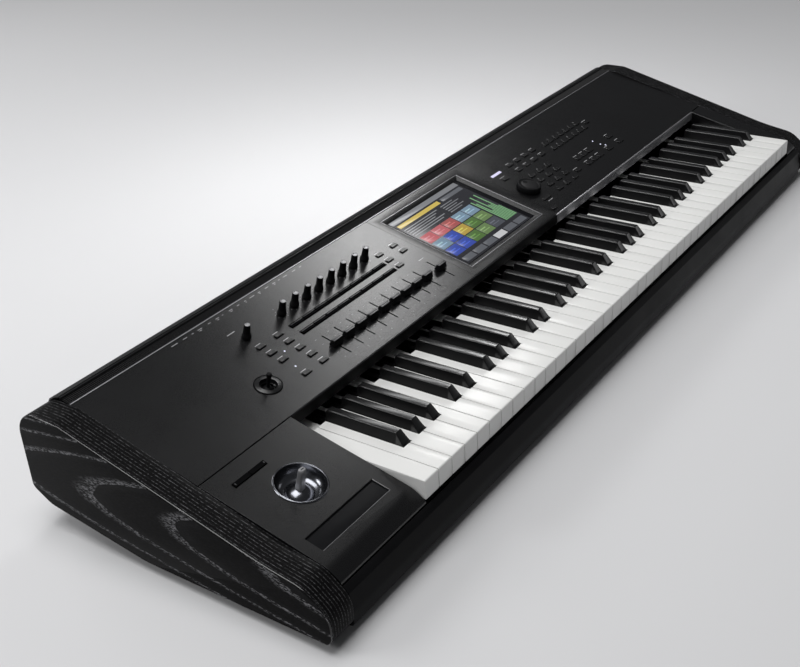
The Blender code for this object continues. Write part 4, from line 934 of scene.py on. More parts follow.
def build_wood_ends():
    """Wooden ends: the side outline at stations across the board.

    The rim is drawn in by r (1 - sin t) at a depth of r (1 - cos t), and the floor side is cut to
    z >= bottom + undercut - depth.
    """
    sizes = bpy.context.scene.workstation_sizes
    outline = rounded_outline([
        (-0.0120, WOOD_BOTTOM, 0.012), (0.200, WOOD_BOTTOM, 0.300), (0.337, -0.0440, 0.030),
        (0.360, -0.0300, 0.010), (0.360, 0.0608, 0.028), (0.305, 0.0608, 0.040), (0.060, -0.0032, 0.300),
        (0.0145, -0.0110, 0.040), (-0.0120, -0.0330, 0.026)], 14)
    turn = np.linspace(0, math.pi / 2, 7)
    inner = 0.0010 * np.array([0.0, 0.3, 1.0])
    depth = np.concatenate([sizes.wood_edge * (1 - np.cos(turn)), [sizes.wood_undercut, 0.006, 0.020],
                            WOOD - inner[::-1]])
    inset = np.concatenate([sizes.wood_edge * (1 - np.sin(turn)), [0, 0, 0], inner])
    for name, face, side in (("wood_end_left", LEFT_INNER - WOOD, 1),
                             ("wood_end_right", RIGHT_INNER + WOOD, -1)):
        rings = []
        for level, draw in zip(depth, inset):
            y, z = drawn_in(outline, draw).T
            floor = WOOD_BOTTOM + max(0.0, sizes.wood_undercut - level)
            rings.append(np.column_stack([np.full(len(y), face + side * level), y, np.maximum(z, floor)]))
        make(name + "_board", [(skin(np.array(rings)), "black_ash")], "case", [name], 40, place=on_keys)


def build_case():
    """Front rail, lip along the keys and the blocks beside them."""
    rail = rounded_outline([(-0.0019, -0.0243, 0.0003), (-0.0019, CASE_BOTTOM, 0.0005),
                            (-0.0100, CASE_BOTTOM, 0.004), (-0.0114, -0.050, 0.020),
                            (-0.0081, -0.0308, 0.0008)], 5)
    make("front_rail_bar", [(bar(rail, BODY_LEFT, BODY_RIGHT), "moulded_black")], "case",
         ["front_rail"], 30, place=on_keys)
    seam = 0.55 * KEYS_LENGTH
    lip = rounded_outline([(0.1574, 0.0106, 0.0002), (0.1574, 0.0228, 0.0003), (0.1553, 0.0231, 0.0008),
                           (0.1550, 0.0106, 0.0006)], 4)
    make("lip_bars", [(bar(lip, 0.0004, seam - 0.0002, 0.0002), "moulded_black"),
                      (bar(lip, seam + 0.0002, KEYS_LENGTH + 0.0004, 0.0002), "brushed_grey")],
         "case", ["lip_strip"], 30, place=on_keys)
    carried("joystick_block_shell", "joystick_block", "panel_coat", 0.0004)
    carried("treble_block_shell", "treble_block", "panel_coat", 0.0004)


def strip_surface(pitch):
    """Ribbed strip along the rear edge.

    The closed cross outline has rims at both edges and a sunken middle; along the strip the middle is
    lowered by d x (1 - cos(2 pi x / pitch)) / 2, so the ribs run across it.
    """
    count = int((BODY_RIGHT - BODY_LEFT) / pitch) * 4 + 1
    along = np.linspace(BODY_LEFT, BODY_RIGHT, count)[:, None]
    wave = (1 - np.cos(2 * math.pi * np.arange(count) / 4)) / 2
    low, high = STRIP_FRONT, STRIP_REAR
    v, lift, ribbed = np.array([
        (low, -0.0052, 0), (low, -0.0004, 0), (low + 0.0004, 0.0001, 0), (low + 0.0010, 0.0001, 0),
        (low + 0.0016, -0.0004, 0), (low + 0.0020, -0.0007, 1), (high - 0.0022, -0.0007, 1),
        (high - 0.0018, -0.0003, 0), (high - 0.0012, 0.0, 0), (high - 0.0004, 0.0, 0),
        (high, -0.0004, 0), (high, -0.0052, 0)]).T
    shown_lift = lift - 0.0011 * ribbed * wave[:, None]
    return skin(np.stack([along + 0 * shown_lift, v + 0 * shown_lift, shown_lift], axis=-1))


def build_panels():
    """Rear strip with its lines, and black frames of painted gap shade round both rows of bars."""
    lines = sheets([(BODY_LEFT, STRIP_FRONT + low, BODY_RIGHT, STRIP_FRONT + high)
                    for low, high in ((0.0002, 0.0013), (0.0017, 0.0020), (0.0151, 0.0156))], 0.0, 0.0004)
    ribs = strip_surface(bpy.context.scene.workstation_sizes.strip_pitch)
    make("rear_strip_ribs", [(ribs, "moulded_black")]
         + coated("brushed_grey", lines[0]) + coated("slate_cap", *lines[1:]), "case", ["rear_strip"], 50)
    # The frames round both rows of bars are thin black sheets of painted shade, standing for the gaps round
    # the bars.
    left, right = CHANNELS[0] - CHANNEL_PITCH / 2, CHANNELS[0] + CHANNEL_PITCH * 7.5
    half, width = 0.0027, 0.0009
    rectangles = []
    for v in BAR_ROWS:
        rectangles += [(left - width, low, right + width, low + width)
                       for low in (v - half - width, v + half)]
        rectangles += [(u, v - half, u + width, v + half) for u in (left - width, right)]
    make("panel_frames", coated("gap_black", *sheets(rectangles, -0.001, 0.0004, 0.0002)), "case")


def build_screen():
    """Lit picture of a generic page: title bar, field grid, level bars and a row of keys."""
    left, right, low, high = 0.3735, 0.5275, 0.0222, 0.1438
    lift, layer_step = -0.0033, 0.00006
    fields = []

    def field(u0, v0, u1, v1, tint, layer=2):
        """Add one flat field, in shares of the picture's width and height."""
        corner = (left + u0 * (right - left), low + v0 * (high - low), lift)
        other = (left + u1 * (right - left), low + v1 * (high - low), lift + layer_step * layer)
        fields.append((slab(corner, other, 0.00002), tint))

    field(0.0, 0.0, 1.0, 1.0, (0.030, 0.031, 0.036), 1)
    field(0.0, 0.93, 1.0, 1.0, (0.32, 0.33, 0.35))
    field(0.02, 0.85, 0.62, 0.905, (0.95, 0.72, 0.16))
    field(0.66, 0.85, 0.98, 0.905, (0.18, 0.19, 0.21))
    for row in range(5):
        v0, v1 = 0.80 - 0.034 * row, 0.812 - 0.034 * row
        field(0.02, v0, 0.50 - 0.05 * (row % 3), v1, (0.42, 0.43, 0.45))
        field(0.56, v0, 0.74 + 0.06 * (row % 2), v1, (0.30, 0.31, 0.33))
    pink, rose, sky, blue = (0.78, 0.20, 0.22), (0.55, 0.14, 0.13), (0.28, 0.42, 0.55), (0.06, 0.11, 0.55)
    gold, green, olive, slate = (0.68, 0.48, 0.09), (0.12, 0.24, 0.06), (0.20, 0.32, 0.12), (0.10, 0.11, 0.13)
    grid = [(pink, pink, rose, sky, sky), (sky, blue, gold, green, olive), (blue, blue, green, olive, slate)]
    for row, tints in enumerate(grid):
        for column, tint in enumerate(tints):
            u0, v1 = 0.02 + 0.156 * column, 0.62 - 0.158 * row
            field(u0, v1 - 0.145, u0 + 0.147, v1, tint)
            field(u0 + 0.015, v1 - 0.060, u0 + 0.090, v1 - 0.045, lighter(tint, 2.2), 3)
            field(u0 + 0.015, v1 - 0.095, u0 + 0.115, v1 - 0.083, lighter(tint, 1.8), 3)
    for column in range(8):
        u0 = 0.815 + 0.022 * column
        level = 0.37 + 0.17 * math.sin(column * 2.3 + 0.6)
        field(u0, 0.16, u0 + 0.014, 0.62, (0.055, 0.058, 0.065))
        field(u0, 0.16, u0 + 0.014, 0.16 + level, (0.30, 0.62, 0.30), 3)
    for column in range(6):
        tint = (0.85, 0.86, 0.88) if column == 3 else (0.16, 0.17, 0.19)
        field(0.02 + 0.163 * column, 0.025, 0.165 + 0.163 * column, 0.105, tint)
    carried("display_bezel_frame", "display_bezel", "panel_coat", 0.0005)
    rims = [(0.5424, 0.0138, 0.5434, 0.1500), (0.3660, 0.1496, 0.5434, 0.1504),
            (0.3660, 0.0132, 0.5434, 0.0140), (0.3656, 0.0138, 0.3662, 0.1500)]
    make("screen_rim", coated("brushed_grey", *sheets(rims, RIM_LOW, RIM_HIGH)), "case")
    make("screen_picture", coated("lit_picture", *(shell for shell, tint in fields)), "case",
         tints=[tint for shell, tint in fields])


def knob(sizes):
    """Tapered knob with its finish to each part, under a top ring that opens at the pointer.

    The body is a radius by height, with r x (1 - 0.10 w(h) ((1 - cos n t) / 2)^2) for its flutes.
    """
    high = sizes.knob_height
    heights = np.array([0.0, 0.03, 0.06, 0.12, 0.18, 0.24, 0.30, 0.36, 0.42, 0.50, 0.60, 0.72, 0.84, 0.93,
                        0.965, 0.985, 1.0, 1.0, 0.988, 0.988]) * (high - 0.0008) + 0.0008
    radii = np.array([5.30, 5.50, 5.50, 5.42, 5.28, 5.00, 4.60, 4.28, 4.12, 4.04, 3.95, 3.84, 3.72, 3.62,
                      3.58, 3.50, 3.36, 3.25, 3.18, 0.10]) / 1000
    grip = np.clip((heights / high - 0.30) / 0.10, 0, 1) * np.clip((0.955 - heights / high) / 0.03, 0, 1)
    t = np.linspace(0, 2 * math.pi, sizes.knob_flutes * 6, endpoint=False)
    flute = ((1 - np.cos(sizes.knob_flutes * t)) / 2) ** 2
    body = skin(about_z(radii[:, None] * (1 - 0.10 * grip[:, None] * flute), t, heights[:, None]))
    shaft = turned([(0.003, -0.0055), (0.003, 0.0012)], 12)
    top = high - 0.0002
    sweep = np.linspace(math.radians(118), math.radians(422), 34)[:, None]
    across, rise = np.array([(2.05, 0.0), (2.05, 0.16), (2.25, 0.24), (2.95, 0.24), (3.12, 0.16),
                             (3.12, 0.0)]).T / 1000
    ring = skin(about_z(across + 0 * sweep, sweep, top + rise))
    plate = turned([(1.95e-3, top - 0.0001), (1.95e-3, top + 0.00005), (1.80e-3, top + 0.00012),
                    (1e-4, top)], 24)
    line = slab((-0.00035, 0.0021, top - 0.0001), (0.00035, 0.0033, top + 0.00022), 0.0001)
    return [(body, "moulded_black"), (shaft, "plated_steel"), (ring, "grey_cap"), (plate, "grey_cap"),
            (line, "printed_marks")]


def build_knobs():
    """Volume knob and one knob to a channel."""
    places = [("volume_knob", *VOLUME_PLACE)]
    places += [(f"channel_knob_{number}", u, KNOB_ROW) for number, u in enumerate(CHANNELS[:8], 1)]
    parts = knob(bpy.context.scene.workstation_sizes)
    for node, u, v in places:
        make(node + "_cap", parts, node, [node], 38, at=(u, v, 0))


def build_dial():
    """Value dial: a rim with fine ribs, r x (1 - 0.022 (1 - cos n t) / 2), and a dished face."""
    sizes = bpy.context.scene.workstation_sizes
    heights = np.array([0.6, 0.9, 1.6, 4.0, 6.2, 7.0, 7.7, 8.2, 8.5, 8.5, 8.35, 8.1, 8.0, 8.0]) / 1000
    share = np.array([0.96, 0.99, 1.02, 1.01, 1.0, 0.985, 0.96, 0.93, 0.895, 0.87, 0.83, 0.76, 0.70, 0.005])
    ribbed = np.array([0, 0, 1, 1, 1, 1, 0.3, 0, 0, 0, 0, 0, 0, 0])[:, None]
    t = np.linspace(0, 2 * math.pi, sizes.dial_ribs * 4, endpoint=False)
    wave = (1 - np.cos(sizes.dial_ribs * t)) / 2
    radius = sizes.dial_radius * share[:, None] * (1 - 0.022 * ribbed * wave)
    face = turned([(0.0112, 0.0079), (0.0112, 0.00812), (0.0108, 0.00818), (0.0001, 0.00810)], 48)
    dimple = turned([(0.0001, 0.0080), (0.0030, 0.0080), (0.0034, 0.00835), (0.0030, 0.00840),
                     (0.0022, 0.00825), (0.0001, 0.00818)], 28)
    shaft = turned([(0.003, -0.0055), (0.003, 0.0010)], 12)
    make("value_dial_cap", [(skin(about_z(radius, t, heights[:, None])), "moulded_black"),
                            (face, "button_rubber"), (repeated(dimple, [(0, 0.0070)]), "moulded_black"),
                            (shaft, "plated_steel")],
         "value_dial", ["value_dial"], 30, at=(*DIAL_PLACE, 0))


def build_faders():
    """Fader caps: a waisted wedge carried along the keys, with two slate plates on its top."""
    sizes = bpy.context.scene.workstation_sizes
    side = rounded_outline([(-0.0042, 0.0009, 0.0003), (0.0042, 0.0009, 0.0003), (0.0040, 0.0026, 0.0006),
                            (0.0026, 0.0060, 0.0030), (0.0023, 0.00865, 0.0004), (-0.0023, 0.00865, 0.0004),
                            (-0.0026, 0.0060, 0.0030), (-0.0040, 0.0026, 0.0006)], 3)
    half = sizes.fader_length / 2
    plates = sheets([(-half + 0.0004, low, half - 0.0004, high)
                     for low, high in ((-0.00205, -0.00022), (0.00022, 0.00205))], 0.0084, 0.00872, 0.00012)
    lever = slab((-0.0006, -0.0030, -0.0055), (0.0006, 0.0030, 0.0020), 0.0001)
    parts = [(bar(side, -half, half, 0.0005), "moulded_black"), *coated("slate_cap", *plates),
             (lever, "plated_steel")]
    nodes = [(f"fader_{number}", u) for number, u in enumerate(CHANNELS, 1)]
    for node, u in nodes + [("value_fader", VALUE_FADER)]:
        make(node + "_cap", parts, node, [node], 35, at=(u, FADER_ROW, 0))


def small_buttons():
    """Middles of the small buttons left of the screen, and of the small and large ones right of it."""
    left = [(0.065, v) for v in (0.0920, 0.0770, 0.0615, 0.0305)]
    left += [(0.094, v) for v in (0.0920, 0.0770, 0.0615, 0.0460, 0.0305)]
    left += [(CHANNELS[8], v) for v in (0.1070, *BAR_ROWS)]
    left += [(VALUE_FADER, v) for v in (0.1070, 0.0922)]
    right = [(u, v) for u in BANK_COLUMNS for v in BANK_ROWS]
    right += [(u, 0.030 + 0.0147 * row) for u in KEYPAD_COLUMNS for row in range(4)]
    right += [(u, v) for u in LETTER_COLUMNS for v in LETTER_ROWS]
    right += [(0.587, 0.096), (0.691, 0.037), (0.838, 0.100), (0.570, 0.010)]
    large = [(0.724 + 0.0170 * column, v) for column in range(3) for v in (0.054, 0.036)]
    large += [(0.789, 0.036), (0.823, 0.054), (0.823, 0.036)]
    return left, right, large


def build_buttons():
    """Control board: its plate, pots, fader bodies and spacers, with all the button caps and black rings of
    painted gap shade round the small buttons left of the screen.
    """
    sizes = bpy.context.scene.workstation_sizes
    left, right, large = small_buttons()
    bars = [(u, v) for u in CHANNELS[:8] for v in BAR_ROWS]
    pots = [(u, KNOB_ROW) for u in CHANNELS[:8]] + [VOLUME_PLACE, DIAL_PLACE]
    faders = [(u, FADER_ROW) for u in CHANNELS + [VALUE_FADER]]
    posts = [(u, v) for u in (0.049, 0.345, 0.605, 0.845) for v in (0.0154, 0.1240)]
    pot = block(0.0096, 0.0096, BOARD_TOP, -0.0059, 0.0012)
    body = block(0.0090, 0.0483, BOARD_TOP, -0.0059, 0.0006)
    spacer = turned([(0.003, BOARD_TOP), (0.003, -0.0019)], 6)
    parts = [(slab((0.044, 0.012, -0.0140), (0.850, 0.128, -0.0124)), "circuit_board")]
    parts += coated("plated_steel", repeated(pot, pots), repeated(body, faders), repeated(spacer, posts))
    for width, depth, radius, soft, dish, spots in (
            (0.0110, 0.0046, 0.0008, 0.0004, 0.00012, left), (0.0118, 0.0050, 0.0008, 0.0004, 0.00012, right),
            (0.0140, 0.0070, 0.0010, 0.0005, 0.00015, large),
            (0.0180, 0.0050, 0.0008, 0.0004, 0.00012, [(0.586, 0.031)])):
        cap = block(width, depth, BOARD_TOP, sizes.button_lift, radius, soft, dish)
        parts.append((repeated(cap, spots), "button_rubber"))
    cap = block(CHANNEL_PITCH - 0.0010, 0.0045, BOARD_TOP, 0.0009, 0.0004, 0.0003)
    line = repeated(block(CHANNEL_PITCH - 0.0022, 0.0009, 0.0005, 0.0012, 0.0003, 0.0002), [(0, 0.0014)])
    # A thin black ring round each small button left of the screen: painted shade in the gap round the button.
    gap_shade_ring = block(0.0126, 0.0062, -0.0010, 0.0001, 0.0010, 0.00004)
    parts += [(repeated(cap, bars), "gap_black"), (repeated(line, bars), "slate_cap"),
              (repeated(gap_shade_ring, left), "gap_black")]
    make("control_board_set", parts, "case", ["control_board"], 35)


def build_lamps():
    """Small lit lamps beside the buttons, and the lit plate over the dial."""
    dome = turned([(0.0010, -0.0006), (0.0010, 0.0001), (0.0008, 0.00035), (0.0004, 0.0005),
                   (0.0001, 0.00052)], 14)
    spots = [(0.077, 0.070), (0.0652, 0.0458), (0.789, 0.064), (0.790, 0.0515), (0.794, 0.045)]
    lit = slab((0.576, 0.10975, -0.0004), (0.600, 0.11425, 0.0004))
    make("panel_lamps", [(repeated(dome, spots), "lamp_white"), (lit, "lamp_lilac")], "case")


def tick(u, v, width, depth):
    """Thin printed bar centred at a place of the panel."""
    return slab((u - width / 2, v - depth / 2, -0.00002), (u + width / 2, v + depth / 2, 0.00005), 0.00001)


def build_marks():
    """Printed marks: channel numbers, knob and fader scales, digits, letters and plain bars."""
    above, depth = 0.0052, 0.0010
    parts = []
    for number, u in enumerate(CHANNELS[:8], 1):
        parts.append(lettering(str(number), 0.0034, u, 0.1262))
        parts += [tick(u + 0.0074 * math.cos(a), KNOB_ROW + 0.0074 * math.sin(a), 0.0008, 0.0008)
                  for a in np.radians([-60, -15, 30, 75, 105, 150, 195, 240])]
    for number, u in enumerate(CHANNELS, 1):
        parts += [tick(u - 0.0105, 0.0184 + 0.0100 * step, 0.0022, 0.0003) for step in range(5)]
        parts.append(lettering(str(number), 0.0030, u, 0.0115))
    left, _, large = small_buttons()
    parts += [tick(u, v + above, 0.0086, depth) for u, v in left]
    for u, digits, last in zip(KEYPAD_COLUMNS, ("147", "258", "369"), "-0."):
        parts += [lettering(digit, 0.0034, u, 0.0502 + 0.0147 * row) for row, digit in enumerate(digits)]
        parts.append(lettering(last, 0.0034, u, 0.0355))
    parts += [tick(u, v + above, 0.0090, depth) for u in BANK_COLUMNS for v in BANK_ROWS]
    for u, letter in zip(LETTER_COLUMNS, "ABCDEFG"):
        parts += [lettering(letter, 0.0030, u, v + 0.0058) for v in LETTER_ROWS]
    parts += [tick(u, v, 0.012, depth)
              for u, v in ((0.587, 0.1022), (0.586, 0.0245), (0.691, 0.0425), (0.838, 0.1058))]
    parts += [tick(u, 0.0425 if v < 0.05 else 0.0605, 0.0100, depth) for u, v in large]
    words = np.array([9, 6, 3, 7, 4, 5, 2, 6, 4, 3, 8, 4, 6, 5, 3, 7, 6, 4])
    starts = np.concatenate([[0.0], np.cumsum((words + 5.2 + words * 7 % 5) / 1000)[:-1]])
    parts += [tick(start + word / 2000, 0.1585, word / 1000, 0.0009) for start, word in zip(starts, words)]
    parts += [tick(start + word / 3000, 0.1562, word / 1700, 0.0008)
              for start, word in zip(starts[3:15:2], words[3:15:2])]
    parts += [tick(0.060, 0.1300, 0.012, 0.0011), tick(VALUE_FADER, 0.0665, 0.010, depth)]
    make("printed_marks", coated("printed_marks", *parts), "case")


def flare(radius, width, low, rise, steps):
    """Quarter arc (radius + width sin t, low + rise (1 - cos t)) of a bowl."""
    turn = np.linspace(0, math.pi / 2, steps)
    return np.stack([radius + width * np.sin(turn), low + rise * (1 - np.cos(turn))], axis=1)


def legs(middle, half, depth, low, high, soft):
    """Two legs that hold the gimbal's pins, one at each side."""
    return sheets([(side * middle - half, -depth, side * middle + half, depth) for side in (-1, 1)],
                  low, high, soft)


def ball(radius, cut, pole, steps, drop, around):
    """Upper part of a ball about the gimbal's centre, from beside its pole down to the height cut."""
    sweep = np.linspace(math.pi / 2 - pole, math.asin(cut / radius), steps)
    return turned(np.stack([radius * np.cos(sweep), radius * np.sin(sweep) - drop], axis=1), around)


def gimbal_pin(radius, reach, drop, steps):
    """Pin through a ball, along Y."""
    return repeated(lying(turned([(radius, -reach), (radius, reach)], steps)), [(0, 0, -drop)])


def build_main_joystick():
    """Main joystick: polished bowl on its legs, and the ball with its post."""
    rim = [(0.0256, 0.00118), (0.0262, 0.00112), (0.0267, 0.0008), (0.0270, 0.0003)]
    bowl = turned(np.concatenate([flare(0.0146, 0.0104, -0.0130, 0.0140, 12), rim,
                                  flare(0.0158, 0.0098, -0.0142, 0.0145, 12)[::-1]]), 72, closed=True)
    make("main_joystick_cup", [(bowl, "polished_chrome")]
         + coated("plated_steel", *legs(0.0239, 0.0013, 0.0032, -0.0273, -0.0081, 0.0003)),
         "case", ["main_joystick_bowl"], 40, at=STICK_PLACE)
    heights = np.array([0.010, 0.016, 0.024, 0.034, 0.0388, 0.0406, 0.0414, 0.0419, 0.0420])
    wide = np.array([9.8, 9.4, 8.6, 8.0, 7.9, 7.4, 6.6, 5.4, 0.4]) / 1000
    deep = np.array([8.4, 8.0, 7.0, 6.4, 6.3, 5.9, 5.2, 4.2, 0.3]) / 1000
    post = skin(np.array([np.column_stack([ring_of(w, d, min(w, d) * 0.34, 5), np.full(20, h - STICK_DROP)])
                          for w, d, h in zip(wide, deep, heights)]))
    # A thin black strip on the post's top stands for the shade in a groove: painted shade.
    groove_shade = slab((-0.0022, -0.00045, 0.0170), (0.0022, 0.00045, 0.01808), 0.0001)
    make("main_joystick_lever", [(ball(0.018, -0.003, 0.01, 16, STICK_DROP, 56), "polished_chrome"),
                                 (post, "grey_cap"), (groove_shade, "gap_black"),
                                 (gimbal_pin(0.0015, 0.0200, STICK_DROP, 12), "plated_steel")],
         "main_joystick_stick", ["main_joystick_stick"], 35, at=STICK_PLACE)


def build_vector_joystick():
    """Vector joystick: ring on its legs, and the ball with its post."""
    rim = [(0.0100, 0.0006), (0.0143, 0.0006), (0.0147, 0.0003), (0.0130, 0.0003), (0.0130, -0.0044)]
    ring = turned(np.concatenate([flare(0.0084, 0.0012, -0.0044, 0.0052, 6), rim]), 56, closed=True)
    # A thin black ring over the ring's outer edge: painted shade in the gap between the ring and the panel.
    edge_shade_ring = turned([(0.0145, 0.0002), (0.0145, 0.0008), (0.0152, 0.0008), (0.0152, 0.0002)], 56, closed=True)
    make("vector_joystick_ring", [(ring, "panel_coat"), (edge_shade_ring, "gap_black")]
         + coated("plated_steel", *legs(0.01185, 0.00075, 0.0019, -0.0120, -0.0040, 0.0002)),
         "case", ["vector_joystick_bowl"], 40, at=VECTOR_PLACE)
    post = np.array([(1.9, -4.0), (1.85, -2.0), (1.8, 0.5), (1.9, 4.0), (2.25, 8.0), (2.65, 11.0),
                     (2.85, 13.0), (2.85, 14.2), (2.6, 14.8), (2.1, 15.1), (1.2, 15.2), (0.1, 15.2)]) / 1000
    make("vector_joystick_lever", coated("moulded_black", ball(0.008, -0.0018, 0.02, 12, VECTOR_DROP, 40),
                                         turned(post, 32))
         + [(gimbal_pin(0.0009, 0.0093, VECTOR_DROP, 10), "plated_steel")],
         "vector_joystick_stick", ["vector_joystick_stick"], 35, at=VECTOR_PLACE)


def build_switches():
    """Two assignable switches with a slate mark each, and the ribbon pad in its recess, with painted
    highlights on the recess's right and front rims and a painted shadow along its rear wall.
    """
    width, depth, gap = 0.0219, 0.0057, 0.0004
    cap = block(width, depth, -0.005, 0.0012, 0.0009, 0.0005, dish=0.0002)
    for number in (1, 2):
        end = 0.0090 * (2 * number - 3)
        mark = slab((end - 0.0006, -0.0010, 0.0009), (end + 0.0006, 0.0010, 0.00125), 0.00005)
        node = f"switch_{number}"
        make(node + "_cap", [(cap, "gap_black"), (mark, "slate_cap")], node, [node], 35,
             at=(-0.1120 + gap + width / 2 + (number - 1) * (width + gap), -0.02375, 0))
    pad = block(0.1013, 0.0203, -0.0013, -0.0009, 0.0006, 0.0002)
    make("ribbon_film", [(pad, "ribbon_film")], "case", ["ribbon_pad"], 35, at=(-0.06825, -0.12275, 0))
    # Light grey rims along the recess's right and front edges are painted highlights, and the black strip
    # along its rear wall is a painted shadow.
    rims = [(-0.0174, -0.1332, -0.0170, -0.1123), (-0.1192, -0.1333, -0.0170, -0.1329)]
    shade = slab((-0.1190, -0.1133, -0.0009), (-0.0176, -0.1121, -0.0003), 0.0001)
    make("ribbon_rims", coated("grey_cap", *sheets(rims, RIM_LOW, RIM_HIGH)) + [(shade, "gap_black")], "case")


def build_rear():
    """Nuts of the jacks, rings and pins of the round sockets, rear screws, tongues and inlet blades."""
    nut = turned([(0.0034, -0.0004), (0.0058, -0.0004), (0.0058, 0.0012), (0.0054, 0.0018),
                  (0.0042, 0.0020), (0.0036, 0.0016)], 24, closed=True)
    ring = turned([(0.0074, -0.0003), (0.0086, -0.0003), (0.0086, 0.0005), (0.0083, 0.0008),
                   (0.0077, 0.0008)], 32, closed=True)
    pin = turned([(0.0007, 0.0), (0.0007, 0.0075), (0.0004, 0.0082)], 8)
    screw = turned([(0.0029, -0.0006), (0.0029, 0.0004), (0.0024, 0.0011), (0.0009, 0.0013),
                    (0.0008, 0.0006), (0.0001, 0.0006)], 20)
    row = -0.012
    jacks = [(0.030 + 0.022 * index, REAR_Y, row) for index in range(12)]
    rounds = [(0.318 + 0.026 * index, REAR_Y, row) for index in range(3)]
    pins = [(x + 0.0045 * math.cos(a), y - 0.0128, z - 0.0045 * math.sin(a))
            for x, y, z in rounds for a in np.radians([180, 225, 270, 315, 360])]
    columns = (LEFT_INNER + 0.02, 0.20, 0.52, 0.70, 0.90, RIGHT_INNER - 0.02)
    heads = [(x, 0.352, z) for x in columns for z in (0.030, -0.055)]
    heads += [(x, 0.352, -0.030) for x in (0.778, 0.822)]
    contacts = [(x, half, z, 0.0006, REAR_Y - 0.0125, REAR_Y - 0.0020)
                for x, half, z in ((0.398, 0.0056, -0.0119), (0.422, 0.0056, -0.0119))]
    contacts.append((0.444, 0.0028, -0.0120, 0.0012, REAR_Y - 0.0125, REAR_Y - 0.0020))
    contacts += [(x, 0.0010, z, 0.0020, REAR_Y - 0.0150, REAR_Y - 0.0040)
                 for x, z in ((0.793, -0.0275), (0.807, -0.0275), (0.800, -0.0325))]
    contacts = [slab((x - half, inner, z - rise), (x + half, outer, z + rise), 0.0002)
                for x, half, z, rise, inner, outer in contacts]
    parts = [(repeated(lying(shell), spots), look)
             for shell, spots, look in ((nut, jacks, "polished_chrome"), (ring, rounds, "plated_steel"),
                                        (pin, pins, "plated_steel"), (screw, heads, "plated_steel"))]
    parts += coated("matt_rubber", *contacts[:3]) + coated("plated_steel", *contacts[3:])
    make("rear_fittings", parts, "case", place=on_keys)


def build_underside():
    """Screws of the floor tray and rubber rims round the feet."""
    screw = turned([(0.0001, 0.0), (0.0030, 0.0), (0.0030, -0.0006), (0.0024, -0.0012), (0.0009, -0.0013),
                    (0.0008, -0.0008), (0.0001, -0.0008)], 20)
    heads = [(x, y, CASE_BOTTOM) for x in np.linspace(LEFT_INNER + 0.03, RIGHT_INNER - 0.03, 7)
             for y in (0.012, 0.200, 0.336)]
    rim = turned([(0.0125, 0.0016), (0.0139, 0.0016), (0.0143, 0.0022), (0.0139, 0.0028),
                  (0.0125, 0.0028)], 32, closed=True)
    feet = [(x, y, FEET_BOTTOM) for x in (LEFT_INNER + 0.045, RIGHT_INNER - 0.045) for y in (0.035, 0.315)]
    make("underside_fittings", [(repeated(screw, heads), "plated_steel"),
                                (repeated(rim, feet), "matt_rubber")], "case", place=on_keys)


def finish_nodes():
    """Give every CAD node that stays the finish of its material slot."""
    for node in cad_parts.values():
        for slot in node.material_slots:
            name = slot.material.name.split(".")[0] if slot.material else "black_metal"
            if name in NODE_FINISH:
                slot.material = finish(NODE_FINISH[name])


def soft_box(name, place, target, width, height, power):
    """Area lamp that looks at a target."""
    lamp = bpy.data.lights.new(name, "AREA")
    lamp.shape = "RECTANGLE"
    lamp.size = width
    lamp.size_y = height
    lamp.energy = power
    item = linked(name, lamp)
    item.location = place
    item.visible_camera = False
    item.rotation_euler = (Vector(target) - Vector(place)).to_track_quat("-Z", "Y").to_euler()


def aim_camera(settings):
    """Camera at the picture's angle: it looks down along its azimuth, and the picture is rolled."""
    camera = linked("camera", bpy.data.cameras.new("camera"))
    camera.data.lens = settings.lens
    camera.data.sensor_width = 36.0
    az, el = settings.azimuth, settings.elevation
    forward = -Vector((math.sin(az) * math.cos(el), -math.cos(az) * math.cos(el), math.sin(el)))
    right = forward.cross(Vector((0, 0, 1))).normalized()
    down = forward.cross(right)
    cos, sin = math.cos(settings.roll), math.sin(settings.roll)
    axes = Matrix((cos * right + sin * down, sin * right - cos * down, -forward))
    camera.matrix_world = Matrix.Translation(Vector(CORNER + CAMERA_PLACE)) @ axes.transposed().to_4x4()
    bpy.context.scene.camera = camera


def lay_floor(settings):
    """Pale floor of six by six fields about the middle."""
    reach, count = 9, 7
    line = np.linspace(-reach, reach, count)
    across, along = np.meshgrid(line, line)
    places = np.stack([across, along, 0 * across], axis=-1).reshape(-1, 3)
    index = np.arange(count * count).reshape(count, count)
    quads = np.stack([index[:-1, :-1], index[:-1, 1:], index[1:, 1:], index[1:, :-1]], axis=-1).reshape(-1, 4)
    mesh = bpy.data.meshes.new("floor")
    mesh.from_pydata(places.tolist(), [], quads.tolist())
    paint = Paint("pale_floor")
    mesh.materials.append(paint.coat(paint.noise(3.0), tuple(settings.floor), lighter(settings.floor, 0.985),
                                     Roughness=0.9, Specular_IOR_Level=0.1))
    floor = linked("floor", mesh)


